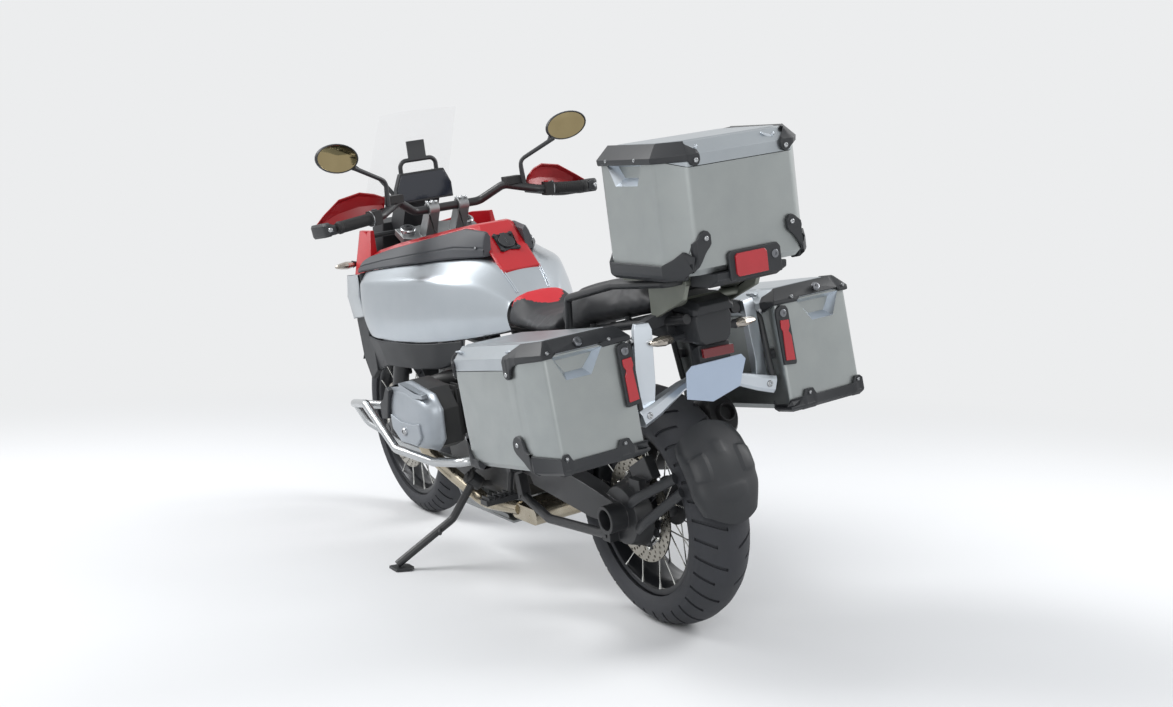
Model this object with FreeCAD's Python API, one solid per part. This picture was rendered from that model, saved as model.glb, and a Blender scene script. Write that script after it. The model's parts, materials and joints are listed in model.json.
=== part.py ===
import FreeCAD, Part
import math
import os
from FreeCAD import Vector

# Adventure motorcycle on its side stand, with two side cases and a top case.
# It is modelled upright in millimetres: X forward, Y to the rider's left, Z up,
# with the rear tyre touching the floor at X = 0. At the end everything leans
# over onto the side stand and moves to the row's origin, under its middle.

# Stance
LEAN = math.radians(9.2)
WHEELBASE = 1534.0
CASTER = math.radians(26.2)
TRAIL = 112.0

# Wheels
REAR_RADIUS = 318.0
REAR_HALF = 82.0
REAR_CROWN = 100.0
REAR_SEAT = 217.0
REAR_BEAD_HALF = 58.0
FRONT_RADIUS = 325.0
FRONT_HALF = 58.0
FRONT_CROWN = 62.0
FRONT_SEAT = 242.0
FRONT_BEAD_HALF = 40.0
FLANGE_HEIGHT = 14.0
FLANGE_WIDTH = 4.0
BEAD_INSET = 8.5
WALL_BULGE = 2.0
WALL_RISE = 6.0
RIM_WALL = 7.0
RIM_WELL = 14.0
SPOKE_WIDTH = 4.0
SPOKE_PAIRS = 8
DISC_THICKNESS = 5.0
FRONT_DISC_RADIUS = 152.5
FRONT_DISC_OFFSET = 64.0
REAR_DISC_RADIUS = 138.0
REAR_DISC_OFFSET = 66.0
PAD_GAP = 3.0
HUB_RADIUS = 34.0
AXLE_RADIUS = 12.5
RUNNING_GAP = 0.3
SEAT_GAP = 0.3

# Steering
LEG_SPACING = 102.0
SLIDER_RADIUS = 27.0
STANCHION_RADIUS = 21.0
YOKE_HEIGHT = 1112.0
YOKE_THICKNESS = 22.0
BRIDGE_HEIGHT = 716.0
BRIDGE_THICKNESS = 36.0
PIVOT_RADIUS = 12.0
BAR_RADIUS = 13.0
GRIP_RADIUS = 17.5

# Frame
PLATE_INNER = 122.0
PLATE_OUTER = 138.0
PEG_PLATE_INNER = 158.0
PEG_PLATE_OUTER = 170.0
RACK_HALF = 108.0

# Engine
ENGINE_HALF = 120.0
ARM_OUTER = 112.0
CYLINDER_X = 775.0
CYLINDER_Z = 520.0
COVER_OUT = 358.0

# Side cases, in their own tipped frame: length, height and depth of the box
CASE_LENGTH = 480.0
CASE_HEIGHT = 240.0
CASE_LID = 58.0
CASE_DEPTH = 240.0
CASE_PITCH = math.radians(6.5)
CASE_REAR = Vector(-318.0, 214.0, 562.0)
CASE_WALL = 3.0
LID_SEAM = 1.0
GUARD_THICKNESS = 7.0
GUARD_GAP = 0.3

# Top case
TOP_LENGTH = 312.0
TOP_WIDTH = 384.0
TOP_HEIGHT = 236.0
TOP_LID = 54.0
TOP_REAR = -507.0
TOP_FLOOR = 968.0

STEER_FOOT = WHEELBASE + TRAIL
REAR_AXLE = Vector(0, 0, REAR_RADIUS)
FRONT_AXLE = Vector(WHEELBASE, 0, FRONT_RADIUS)
Y_AXIS = Vector(0, 1, 0)


def polygon(points):
    return Part.makePolygon(list(points) + [points[0]])


def face(points):
    return Part.Face(polygon(points))


def prism_x(outline, x0, x1):
    """Outline in (y, z), drawn from x0 to x1."""
    return face([Vector(x0, y, z) for y, z in outline]).extrude(Vector(x1 - x0, 0, 0))


def prism_y(outline, y0, y1):
    """Outline in (x, z), drawn from y0 to y1."""
    return face([Vector(x, y0, z) for x, z in outline]).extrude(Vector(0, y1 - y0, 0))


def prism_z(outline, z0, z1):
    """Outline in (x, y), drawn from z0 to z1."""
    return face([Vector(x, y, z0) for x, y in outline]).extrude(Vector(0, 0, z1 - z0))


def block(x0, x1, y0, y1, z0, z1):
    return Part.makeBox(x1 - x0, y1 - y0, z1 - z0, Vector(x0, y0, z0))


def rod(start, end, radius):
    run = end - start
    return Part.makeCylinder(radius, run.Length, start, run)


def loft(sections):
    return Part.makeLoft([polygon(points) for points in sections], True, True)


def fuse(shapes):
    whole = shapes[0].multiFuse(shapes[1:]) if len(shapes) > 1 else shapes[0]
    return whole.removeSplitter()


def mirror(shape):
    return shape.mirror(Vector(0, 0, 0), Y_AXIS)


def pair(shape):
    return Part.makeCompound([shape, mirror(shape)])


def both(shape):
    return [shape, mirror(shape)]


def tube(points, radius, bend):
    """Round bar along straight runs joined by tangent arcs."""
    edges = []
    start = points[0]
    for before, corner, after in zip(points, points[1:], points[2:]):
        back = (before - corner).normalize()
        ahead = (after - corner).normalize()
        half = back.getAngle(ahead) / 2
        reach = bend / math.tan(half)
        middle = (back + ahead).normalize()
        centre = corner + middle * (bend / math.sin(half))
        first = corner + back * reach
        last = corner + ahead * reach
        edges.append(Part.makeLine(start, first))
        edges.append(Part.Arc(first, centre - middle * bend, last).toShape())
        start = last
    edges.append(Part.makeLine(start, points[-1]))
    section = Part.makeCircle(radius, points[0], points[1] - points[0])
    return Part.Wire(edges).makePipeShell([Part.Wire(section)], True, True)


def inset(outline, distance):
    """A convex outline, counterclockwise, with every side moved outward by distance."""
    moved = []
    count = len(outline)
    for index in range(count):
        ax, ay = outline[index - 1]
        bx, by = outline[index]
        cx, cy = outline[(index + 1) % count]
        one = Vector(bx - ax, by - ay, 0).normalize()
        two = Vector(cx - bx, cy - by, 0).normalize()
        out_one = Vector(one.y, -one.x, 0)
        out_two = Vector(two.y, -two.x, 0)
        middle = (out_one + out_two).normalize()
        shift = middle * (distance / middle.dot(out_one))
        moved.append((bx + shift.x, by + shift.y))
    return moved


def steer_point(ahead, side, along):
    """A point ahead of the steering axis, to its left, and along it from the floor."""
    x = STEER_FOOT + ahead * math.cos(CASTER) - along * math.sin(CASTER)
    z = ahead * math.sin(CASTER) + along * math.cos(CASTER)
    return Vector(x, side, z)


def steer_place(shape):
    """Put a shape drawn about the steering axis (x ahead, z along) where it belongs."""
    placed = shape.copy()
    placed.rotate(Vector(0, 0, 0), Y_AXIS, -math.degrees(CASTER))
    placed.translate(Vector(STEER_FOOT, 0, 0))
    return placed


def steer_local(point):
    """How far a point lies ahead of the steering axis, and along it from the floor."""
    x = point.x - STEER_FOOT
    ahead = x * math.cos(CASTER) + point.z * math.sin(CASTER)
    along = point.z * math.cos(CASTER) - x * math.sin(CASTER)
    return ahead, along


# Wheels

def wheel_profile(points, axle):
    """Ring turned about an axle from (y, r) points."""
    outline = [Vector(axle.x, y, axle.z + r) for y, r in points]
    return face(outline).revolve(axle, Y_AXIS, 360)


def tyre(axle, radius, half, crown, seat, bead_half):
    """Tyre from few turned faces: its seat, two walls, two shoulders and the crown it leans on."""
    foot = bead_half - BEAD_INSET
    # At twice the lean, the crown's edge and its middle are equally low on the leaned bike
    reach = LEAN * 2
    edge = (crown * math.sin(reach), radius - crown * (1 - math.cos(reach)))
    wall = (half + WALL_BULGE, (radius + seat) / 2 + WALL_RISE)
    side = [(foot, seat + SEAT_GAP), wall, edge]
    return wheel_profile(side + [(0, radius)] + [(-y, r) for y, r in reversed(side)], axle)


def rim(axle, seat, bead_half):
    half = bead_half + SEAT_GAP
    outer = [(half + FLANGE_WIDTH, seat + FLANGE_HEIGHT), (half, seat + FLANGE_HEIGHT)]
    outer += [(half, seat), (half * 0.5, seat - RIM_WELL)]
    inner = [(half * 0.45, seat - RIM_WELL - RIM_WALL), (half + FLANGE_WIDTH, seat - RIM_WALL)]
    outline = outer + [(-y, r) for y, r in reversed(outer)]
    outline += [(-y, r) for y, r in reversed(inner)] + inner
    return wheel_profile(outline, axle)


def spokes(axle, seat, bead_half, hub_flange, hub_half):
    """Crossed pairs from the hub's flanges to the rim's edges."""
    bars = []
    step = 360.0 / (SPOKE_PAIRS * 4)
    for index in range(SPOKE_PAIRS * 4):
        side = 1 if index % 2 else -1
        sweep = 26 if index % 4 < 2 else -26
        rim_angle = math.radians(index * step)
        hub_angle = math.radians(index * step + sweep)
        out = Vector(math.cos(rim_angle), 0, math.sin(rim_angle)) * (seat - RIM_WALL / 2)
        root = Vector(math.cos(hub_angle), 0, math.sin(hub_angle)) * (hub_flange - 6)
        start = axle + root + Vector(0, side * hub_half, 0)
        end = axle + out + Vector(0, side * (bead_half - 2), 0)
        run = end - start
        across = run.cross(Y_AXIS).normalize() * (SPOKE_WIDTH / 2)
        up = run.cross(across).normalize() * (SPOKE_WIDTH / 2)
        corners = [start + across + up, start - across + up, start - across - up, start + across - up]
        bars.append(face(corners).extrude(run))
    return bars


def hub(axle, flange, half, left, right, bore):
    """Turned hub with two spoke flanges, from right to left, bored for its axle."""
    waist = flange * 0.62
    points = [(right, bore), (right, HUB_RADIUS), (-half - 4, HUB_RADIUS), (-half - 4, flange)]
    points += [(-half + 4, flange), (-half + 14, waist), (half - 14, waist), (half - 4, flange)]
    points += [(half + 4, flange), (half + 4, HUB_RADIUS), (left, HUB_RADIUS), (left, bore)]
    return wheel_profile(points, axle)


def brake_disc(axle, radius, middle, bolt_circle, bore):
    """Flat ring with round windows, carried on the hub's end."""
    low = middle - DISC_THICKNESS / 2
    start = Vector(axle.x, low, axle.z)
    disc = Part.makeCylinder(radius, DISC_THICKNESS, start, Y_AXIS)
    disc = disc.cut(Part.makeCylinder(bore, DISC_THICKNESS, start, Y_AXIS))
    windows = 6
    window_radius = (radius - bolt_circle) * 0.3
    reach = (radius + bolt_circle) / 2 - window_radius * 0.5
    for index in range(windows):
        angle = 2 * math.pi * index / windows
        place = start + Vector(math.cos(angle) * reach, 0, math.sin(angle) * reach)
        disc = disc.cut(Part.makeCylinder(window_radius, DISC_THICKNESS, place, Y_AXIS))
    return disc


def front_tyre():
    return tyre(FRONT_AXLE, FRONT_RADIUS, FRONT_HALF, FRONT_CROWN, FRONT_SEAT, FRONT_BEAD_HALF)


def rear_tyre():
    return tyre(REAR_AXLE, REAR_RADIUS, REAR_HALF, REAR_CROWN, REAR_SEAT, REAR_BEAD_HALF)


FRONT_HUB_FLANGE = 56.0
FRONT_HUB_HALF = 34.0
REAR_HUB_FLANGE = 66.0
REAR_HUB_HALF = 40.0


def front_wheel():
    bars = spokes(FRONT_AXLE, FRONT_SEAT, FRONT_BEAD_HALF, FRONT_HUB_FLANGE, FRONT_HUB_HALF)
    end = FRONT_DISC_OFFSET - DISC_THICKNESS / 2
    middle = hub(FRONT_AXLE, FRONT_HUB_FLANGE, FRONT_HUB_HALF, end, -end, AXLE_RADIUS + RUNNING_GAP)
    discs = [brake_disc(FRONT_AXLE, FRONT_DISC_RADIUS, offset, HUB_RADIUS, AXLE_RADIUS + 2)
             for offset in (FRONT_DISC_OFFSET, -FRONT_DISC_OFFSET)]
    return fuse([rim(FRONT_AXLE, FRONT_SEAT, FRONT_BEAD_HALF), middle] + discs + bars)


REAR_AXLE_STUB = 20.0


def rear_wheel():
    bars = spokes(REAR_AXLE, REAR_SEAT, REAR_BEAD_HALF, REAR_HUB_FLANGE, REAR_HUB_HALF)
    left = REAR_DISC_OFFSET - DISC_THICKNESS / 2
    middle = hub(REAR_AXLE, REAR_HUB_FLANGE, REAR_HUB_HALF, left, -56, REAR_AXLE_STUB + RUNNING_GAP)
    disc = brake_disc(REAR_AXLE, REAR_DISC_RADIUS, REAR_DISC_OFFSET, HUB_RADIUS, REAR_AXLE_STUB + 2)
    return fuse([rim(REAR_AXLE, REAR_SEAT, REAR_BEAD_HALF), middle, disc] + bars)


# Steering group: drawn about the steering axis

AXLE_AHEAD, AXLE_ALONG = steer_local(FRONT_AXLE)


def fork():
    """Two legs, their lower bridge and the front axle."""
    legs = []
    for side in (1, -1):
        y = side * LEG_SPACING
        foot = Vector(0, y, AXLE_ALONG - 20)
        slider_top = BRIDGE_HEIGHT + BRIDGE_THICKNESS
        legs.append(rod(foot, Vector(0, y, slider_top), SLIDER_RADIUS))
        legs.append(rod(Vector(0, y, slider_top - 10), Vector(0, y, YOKE_HEIGHT + 34), STANCHION_RADIUS))
        lug = [(-20, AXLE_ALONG - 28), (AXLE_AHEAD, AXLE_ALONG - 26), (AXLE_AHEAD + 26, AXLE_ALONG)]
        lug += [(AXLE_AHEAD, AXLE_ALONG + 26), (-20, AXLE_ALONG + 70)]
        legs.append(prism_y(lug, y - 16, y + 16))
    end = LEG_SPACING + 18
    axle = rod(Vector(AXLE_AHEAD, -end, AXLE_ALONG), Vector(AXLE_AHEAD, end, AXLE_ALONG), AXLE_RADIUS)
    half = LEG_SPACING + 10
    plan = [(-34, -half), (18, -half), (34, -60), (34, 60), (18, half), (-34, half)]
    bridge = prism_z(plan, BRIDGE_HEIGHT, BRIDGE_HEIGHT + BRIDGE_THICKNESS)
    whole = fuse(legs + [axle, bridge])
    bore = rod(Vector(0, 0, BRIDGE_HEIGHT), Vector(0, 0, BRIDGE_HEIGHT + BRIDGE_THICKNESS),
               PIVOT_RADIUS + RUNNING_GAP)
    return steer_place(whole.cut(bore))


def top_yoke():
    """Plate that clamps the legs, with the two bar risers on its rear edge."""
    half = LEG_SPACING + 30
    plan = [(-62, -70), (-30, -half), (34, -half), (30, -60), (42, 0), (30, 60), (34, half)]
    plan += [(-30, half), (-62, 70)]
    plate = prism_z(plan, YOKE_HEIGHT, YOKE_HEIGHT + YOKE_THICKNESS)
    bores = [rod(Vector(0, s * LEG_SPACING, YOKE_HEIGHT - 1),
                 Vector(0, s * LEG_SPACING, YOKE_HEIGHT + YOKE_THICKNESS + 1),
                 STANCHION_RADIUS + SEAT_GAP) for s in (1, -1)]
    pivot = rod(Vector(0, 0, YOKE_HEIGHT - 1), Vector(0, 0, YOKE_HEIGHT + 12), PIVOT_RADIUS + RUNNING_GAP)
    risers = []
    ahead, along = steer_local(BAR_CENTRE)
    for side in (1, -1):
        y = side * CLAMP_SPACING
        base = YOKE_HEIGHT + YOKE_THICKNESS - 2
        foot = [Vector(ahead + 38, y - 20, base), Vector(ahead + 38, y + 20, base),
                Vector(ahead - 6, y + 20, base), Vector(ahead - 6, y - 20, base)]
        head = [Vector(ahead + 19, y - 17, along), Vector(ahead + 19, y + 17, along),
                Vector(ahead - 19, y + 17, along), Vector(ahead - 19, y - 17, along)]
        risers.append(loft([foot, head]))
        risers.append(rod(Vector(ahead, y - 17, along), Vector(ahead, y + 17, along), 22))
    whole = fuse([plate] + risers)
    bar = rod(Vector(ahead, -CLAMP_SPACING - 30, along), Vector(ahead, CLAMP_SPACING + 30, along),
              BAR_RADIUS + SEAT_GAP)
    return steer_place(whole.cut(fuse(bores)).cut(pivot).cut(bar))


CLAMP_SPACING = 51.0
BAR_CENTRE = Vector(1048, 0, 1086)
BAR_POINTS = [Vector(1048, 112, 1086), Vector(1000, 182, 1128), Vector(926, 268, 1100)]
BAR_END = Vector(901, 418, 1088)


def bar_tube(radius):
    left = BAR_POINTS + [BAR_END]
    right = [Vector(p.x, -p.y, p.z) for p in reversed(left)]
    return tube(right + left, radius, 40)


def handlebar():
    return bar_tube(BAR_RADIUS)


def handlebar_sleeve():
    """The bar's outside with the seat gap of what clamps onto it."""
    return bar_tube(BAR_RADIUS + SEAT_GAP)


LEVER_RADIUS = 6.0


def along_grip(share):
    """A point on the left grip's line, from its inner end to the bar's end."""
    return BAR_POINTS[-1] + (BAR_END - BAR_POINTS[-1]) * share


def bar_controls():
    """Left grip, switch block, bar weight and hand lever."""
    core = rod(along_grip(0.02), along_grip(1.02), BAR_RADIUS + SEAT_GAP)
    grip = rod(along_grip(0.30), along_grip(0.94), GRIP_RADIUS)
    collar = rod(along_grip(0.26), along_grip(0.30), GRIP_RADIUS + 5)
    switch = rod(along_grip(0.11), along_grip(0.26), GRIP_RADIUS + 7)
    weight = rod(along_grip(0.94), along_grip(1.0), GRIP_RADIUS + 1)
    cap = rod(along_grip(1.0), along_grip(1.04), GRIP_RADIUS - 2)
    body = fuse([grip, collar, switch, weight]).cut(core)
    reach = Vector(62, 0, -12)
    perch = rod(along_grip(0.20), along_grip(0.20) + Vector(52, -4, -6), 13).cut(core)
    lever = tube([along_grip(0.20) + Vector(48, -4, -8), along_grip(0.40) + reach,
                  along_grip(0.98) + reach + Vector(-14, 0, -4)], LEVER_RADIUS, 30)
    return fuse([body, cap, perch, lever])


def handguards():
    """Hand shields ahead of the grips, each on a black bow from the bar's end."""
    sections = []
    # share along the guard, forward reach, low z, high z
    table = [(0.0, 962, 1108, 1150), (0.25, 990, 1088, 1172), (0.6, 1002, 1076, 1160), (1.0, 990, 1068, 1098)]
    for share, x, low, high in table:
        y = 246 + share * 214
        sections.append([Vector(x, y, low), Vector(x + 9, y, (low + high) / 2), Vector(x - 6, y, high),
                         Vector(x - 11, y, high - 3), Vector(x + 3, y, (low + high) / 2),
                         Vector(x - 5, y, low + 2)])
    shield = loft(sections)
    end = along_grip(1.06)
    bow = tube([end, end + Vector(0, 22, 0), Vector(996, 458, 1082),
                Vector(1008, 380, 1078), Vector(996, 256, 1108)], 7, 12)
    bracket = rod(Vector(996, 258, 1108), Vector(956, 249, 1112), 7)
    return pair(fuse([shield, bow, bracket]).cut(handlebar_sleeve()).cut(bar_controls()))


MIRROR_STALK = [Vector(958, 232, 1113), Vector(956, 228, 1196), Vector(916, 336, 1250)]
MIRROR_CENTRE = Vector(912, 384, 1284)


def mirrors():
    """Round-cornered mirror heads on cranked stalks."""
    stalk = tube(MIRROR_STALK, 6.5, 18).cut(handlebar_sleeve())
    outline = []
    # a share of the half width and of the half height, round the head
    for turn in range(16):
        angle = 2 * math.pi * turn / 16
        outline.append((68 * math.cos(angle), 42 * math.sin(angle) + 6 * math.cos(angle)))
    tilt = Vector(-1, -0.12, -0.10).normalize()
    right = tilt.cross(Vector(0, 0, 1)).normalize()
    up = right.cross(tilt)
    rings = []
    # depth behind the glass, share of the outline
    for depth, share in ((0, 1.0), (10, 0.98), (24, 0.7), (30, 0.25)):
        middle = MIRROR_CENTRE - tilt * depth
        rings.append([middle + right * (a * share) + up * (b * share) for a, b in outline])
    return pair(fuse([loft(rings), stalk]))


def front_mudguard():
    """Guard over the front tyre with its two stays down to the legs."""
    inner = FRONT_RADIUS + 14
    outer = inner + 4
    start = FRONT_AXLE
    half = 70
    ring = Part.makeCylinder(outer, 2 * half, start - Vector(0, half, 0), Y_AXIS)
    ring = ring.cut(Part.makeCylinder(inner, 2 * half, start - Vector(0, half, 0), Y_AXIS))
    low, high = math.radians(38), math.radians(158)
    far = outer * 2.2
    wedge = [(start.x, start.z), (start.x + far * math.cos(low), start.z + far * math.sin(low)),
             (start.x, start.z + far), (start.x + far * math.cos(high), start.z + far * math.sin(high))]
    guard = ring.common(prism_y(wedge, -half, half))
    top = FRONT_AXLE + Vector(-90, 0, inner - 14)
    stay = prism_y([(start.x - 160, start.z + 206), (start.x - 130, start.z + 206),
                    (top.x + 60, top.z + 12), (top.x - 60, top.z + 2)], half - 4, half)
    seat = Vector(start.x - 149, half - 4, start.z + 212)
    boss = rod(seat, seat + Y_AXIS * 24, 12)
    leg = rod(steer_point(0, LEG_SPACING, AXLE_ALONG), steer_point(0, LEG_SPACING, BRIDGE_HEIGHT),
              SLIDER_RADIUS + SEAT_GAP)
    half_stay = fuse([stay, boss]).cut(leg)
    return fuse([guard] + both(half_stay))


def front_calipers():
    """One caliper on the rear of each leg, straddling its disc."""
    along = AXLE_ALONG + 84
    reach = -58
    outer = prism_y([(reach - 34, along - 50), (reach + 18, along - 62), (reach + 30, along + 44),
                     (reach - 14, along + 58), (reach - 38, along + 30)],
                    FRONT_DISC_OFFSET - 18, FRONT_DISC_OFFSET + 20)
    slot_half = DISC_THICKNESS / 2 + PAD_GAP
    around = Vector(AXLE_AHEAD, FRONT_DISC_OFFSET - slot_half, AXLE_ALONG)
    swept = Part.makeCylinder(FRONT_DISC_RADIUS + 5, 2 * slot_half, around, Y_AXIS)
    leg = rod(Vector(0, LEG_SPACING, along - 120), Vector(0, LEG_SPACING, along + 120),
              SLIDER_RADIUS + SEAT_GAP)
    lug = block(reach + 10, -16, FRONT_DISC_OFFSET + 8, LEG_SPACING + 4, along - 30, along + 20)
    caliper = fuse([outer, lug]).cut(swept).cut(leg)
    return steer_place(pair(caliper))


# Frame, engine and running gear

ARM_SEAT = steer_point(-150, 0, BRIDGE_HEIGHT + 46)
ARM_SEAT_RADIUS = 20.0
FRAME_CROSS = Vector(1100, 0, 800)
FRAME_CROSS_RADIUS = 12.0
SHOCK_EYE = Vector(362, 0, 470)
SHOCK_EYE_RADIUS = 16.0
SHOCK_CROSS = Vector(412, 0, 731)
SHOCK_CROSS_RADIUS = 10.0


def pivot_plate():
    """Left plate that carries the swing arm's pivot and the rider's peg."""
    return prism_y([(500, 350), (560, 330), (600, 420), (635, 726), (585, 726), (520, 440)],
                   PLATE_INNER, PLATE_OUTER)


def main_frame():
    """Head casting, backbone tubes, down tubes and swing-arm pivot plates."""
    head_low, head_high = YOKE_HEIGHT - 110, YOKE_HEIGHT - 5
    head = rod(steer_point(0, 0, head_low), steer_point(0, 0, head_high), 32)
    pin = rod(steer_point(0, 0, head_high), steer_point(0, 0, YOKE_HEIGHT + 10), PIVOT_RADIUS)
    middle = steer_point(-20, 0, (head_low + head_high) / 2)
    backbone = tube([middle + Vector(0, 14, 0), Vector(1062, 42, 832), Vector(760, 56, 788),
                     Vector(606, 96, 640)], 17, 60)
    down = tube([middle + Vector(0, 14, -30), Vector(1085, 46, 770), Vector(1010, 92, 560)], 15, 50)
    rib = tube([Vector(1064, 52, 712), Vector(900, 66, 700), Vector(640, 88, 690)], 13, 60)
    joint = rod(Vector(606, 88, 650), Vector(606, PLATE_OUTER, 650), 16)
    buffer = rod(Vector(800, 54, 790), Vector(800, 54, TANK_TUNNEL - SEAT_GAP), 13)
    left = [backbone, down, rib, joint, buffer, pivot_plate()]
    foot, neck = steer_point(0, 0, head_low + 20), steer_point(0, 0, head_low + 72)
    carrier = prism_y([(foot.x, foot.z), (neck.x, neck.z), (1300, 990 - SEAT_GAP), (1366, 999.6 - SEAT_GAP),
                       (1366, 978), (1300, 962)], -20, 20)
    cross = rod(FRAME_CROSS - Y_AXIS * 42, FRAME_CROSS + Y_AXIS * 42, FRAME_CROSS_RADIUS)
    return fuse([head, pin, cross, carrier] + left + [mirror(part) for part in left]).cut(engine_case())


def subframe_tubes(grow):
    """Left rail and strut, thicker by grow where another piece is cut to clear them."""
    rail = tube([Vector(606, 104, 708), Vector(300, 104, 742), Vector(-60, 92, 812),
                 Vector(-330, 70, 846)], 12 + grow, 80)
    strut = tube([Vector(540, 110.5, 470), Vector(420, 110, 560), Vector(60, 94, 786)], 11 + grow, 80)
    return [rail, strut]


def rear_subframe():
    bolt = rod(Vector(606, 104, 708), Vector(606, PLATE_INNER - SEAT_GAP, 708), 9)
    left = subframe_tubes(0) + [bolt]
    crosses = [rod(place - Y_AXIS * 104, place + Y_AXIS * 104, SHOCK_CROSS_RADIUS)
               for place in (Vector(300, 0, 742), SHOCK_CROSS)]
    # x, y of each seat buffer, the height it starts from and the seat's underside there
    buffers = ((412, 70, 731, 772.0), (300, 104, 742, 774.7), (60, 96, 789, 810.3), (-100, 88, 817, 841.1))
    for x, y, z, seat in buffers:
        left.append(rod(Vector(x, y, z), Vector(x, y, seat - SEAT_GAP), 8))
    return fuse(left + [mirror(part) for part in left] + crosses + [tail_bar(0)])


def tail_bar(grow):
    """Cross bar through the tail tray."""
    return rod(Vector(-250, -76, 836), Vector(-250, 76, 836), 10 + grow)


def engine_case():
    """Crankcase and gearbox as one plain block, stepped as the real case is."""
    side = [(632, 270), (660, 226), (940, 226), (1010, 262), (1044, 380), (1040, 500), (1000, 610),
            (930, 652), (700, 640), (650, 600), (632, 470)]
    case = prism_y(side, -ENGINE_HALF, ENGINE_HALF)
    cutters = []
    for x0, z0, x1, z1 in ((560, 210, 1060, 270), (880, 560, 1060, 680)):
        cutters.append(prism_x([(ENGINE_HALF - 34, z0), (ENGINE_HALF + 1, z0), (ENGINE_HALF + 1, z1)]
                               if z0 < 400 else
                               [(ENGINE_HALF - 34, z1), (ENGINE_HALF + 1, z1), (ENGINE_HALF + 1, z0)],
                               x0, x1))
    for cutter in cutters:
        case = case.cut(cutter).cut(mirror(cutter))
    cover = Part.makeCone(96, 80, 30, Vector(1040, 0, 420), Vector(1, 0, 0))
    lug = prism_y([(1036, 462), (1092, 474), (1092, 506), (1036, 522)], ARM_OUTER + SEAT_GAP, ENGINE_HALF + 8)
    return fuse([case, cover, lug, mirror(lug)])


def engine_block():
    """The case with the clevis that carries the side stand's pivot bolt."""
    return fuse([engine_case(), stand_bracket()])


def cylinders():
    """Finned barrels and dark heads, with the intake stubs on top."""
    parts = []
    x0, x1 = CYLINDER_X - 88, CYLINDER_X + 88
    z0, z1 = CYLINDER_Z - 84, CYLINDER_Z + 80
    core = block(x0 + 14, x1 - 14, ENGINE_HALF, 246, z0 + 14, z1 - 14)
    fins = []
    count = 6
    pitch = (238 - ENGINE_HALF - 14) / count
    for index in range(count):
        y = ENGINE_HALF + 12 + index * pitch
        fins.append(block(x0, x1, y, y + 5, z0, z1))
    head = prism_y([(x0 - 40, z0 + 10), (x0 + 10, z0 - 10), (x1 + 34, z0 + 10), (x1 + 48, z0 + 60),
                    (x1 + 20, z1 - 6), (x1 - 40, z1 + 20), (x0 + 6, z1 + 8), (x0 - 44, z1 - 50)], 240, 302)
    throttle = tube([Vector(700, 146, 626), Vector(770, 196, 612), Vector(826, 250, 594),
                     Vector(838, 262, 550)], 21, 24)
    duct = rod(Vector(684, 128, 648), Vector(724, 160, 628), 27)
    parts = [core, head, throttle, duct] + fins
    return pair(fuse(parts).cut(engine_case()))


def head_covers():
    """Cast valve covers: a bevelled dome with the lower guard plate's step."""
    base = [(612, 470), (668, 428), (838, 424), (918, 470), (924, 560), (880, 606), (800, 622), (640, 600),
            (604, 560)]
    top = [(656, 486), (690, 456), (820, 452), (874, 486), (880, 546), (846, 580), (786, 592), (672, 574),
           (650, 546)]
    rings = [[Vector(x, 302 + SEAT_GAP, z) for x, z in base], [Vector(x, 330, z) for x, z in base],
             [Vector(x, COVER_OUT, z) for x, z in top]]
    plug = rod(Vector(770, 330, 500), Vector(770, COVER_OUT + 8, 500), 16)
    return pair(fuse([loft(rings), plug]))


def exhaust_headers():
    """A header from each head's lower front corner, into the box under the gearbox."""
    header = tube([Vector(862, 262, 462), Vector(884, 262, 388), Vector(868, 190, 292),
                   Vector(800, 128, 204), Vector(640, 92, 204)], 21, 60)
    link = tube([Vector(620, -70, 199), Vector(500, -92, 214), Vector(400, -128, 306),
                 Vector(262, -148, 376)], 24, 80)
    box = block(520, 676, -104, 104, 174, 222)
    edges = [edge for edge in box.Edges if abs(edge.Length - 208) < 1]
    box = box.makeFillet(18, edges)
    return fuse([header, mirror(header), box, link]).cut(cylinders()).cut(silencer())


SILENCER_FRONT = Vector(262, -148, 376)
SILENCER_REAR = Vector(-112, -152, 540)


def silencer():
    """Oval silencer that rises beside the rear wheel, with its end pipe."""
    run = SILENCER_REAR - SILENCER_FRONT
    ahead = Vector(run).normalize()
    up = Y_AXIS.cross(ahead).normalize()
    if up.z < 0:
        up = up * -1
    rings = []
    # share of the length, half width, half height
    for share, wide, high in ((0.0, 30, 32), (0.16, 50, 62), (0.9, 50, 66), (1.0, 40, 52)):
        middle = SILENCER_FRONT + run * share
        ring = []
        for turn in range(12):
            angle = 2 * math.pi * turn / 12
            ring.append(middle + Y_AXIS * (wide * math.cos(angle)) + up * (high * math.sin(angle)))
        rings.append(ring)
    body = loft(rings)
    pipe = rod(SILENCER_REAR - ahead * 4, SILENCER_REAR + ahead * 20, 24)
    bore = rod(SILENCER_REAR - ahead * 60, SILENCER_REAR + ahead * 21, 20)
    lug = prism_y([(236, 390), (264, 390), (270, 474), (250, 474)], PEG_PLATE_INNER * -1 + SEAT_GAP, -148)
    return fuse([body, pipe, lug]).cut(bore)


def skid_plate():
    """Bash plate under the engine, turned up in front."""
    under = [(660, 158), (1000, 158), (1092, 300), (1084, 304), (994, 166), (660, 166)]
    plate = prism_y(under, -112, 112)
    ribs = []
    for y in (-108, 104):
        side = [(690, 160), (990, 160), (1080, 300), (1050, 300), (975, 190), (700, 178)]
        ribs.append(prism_y(side, y, y + 5))
    mounts = [block(x, x + 30, y - 15, y + 15, 164, 226 - SEAT_GAP) for x in (720, 930) for y in (-40, 40)]
    return fuse([plate] + ribs + mounts)


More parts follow.
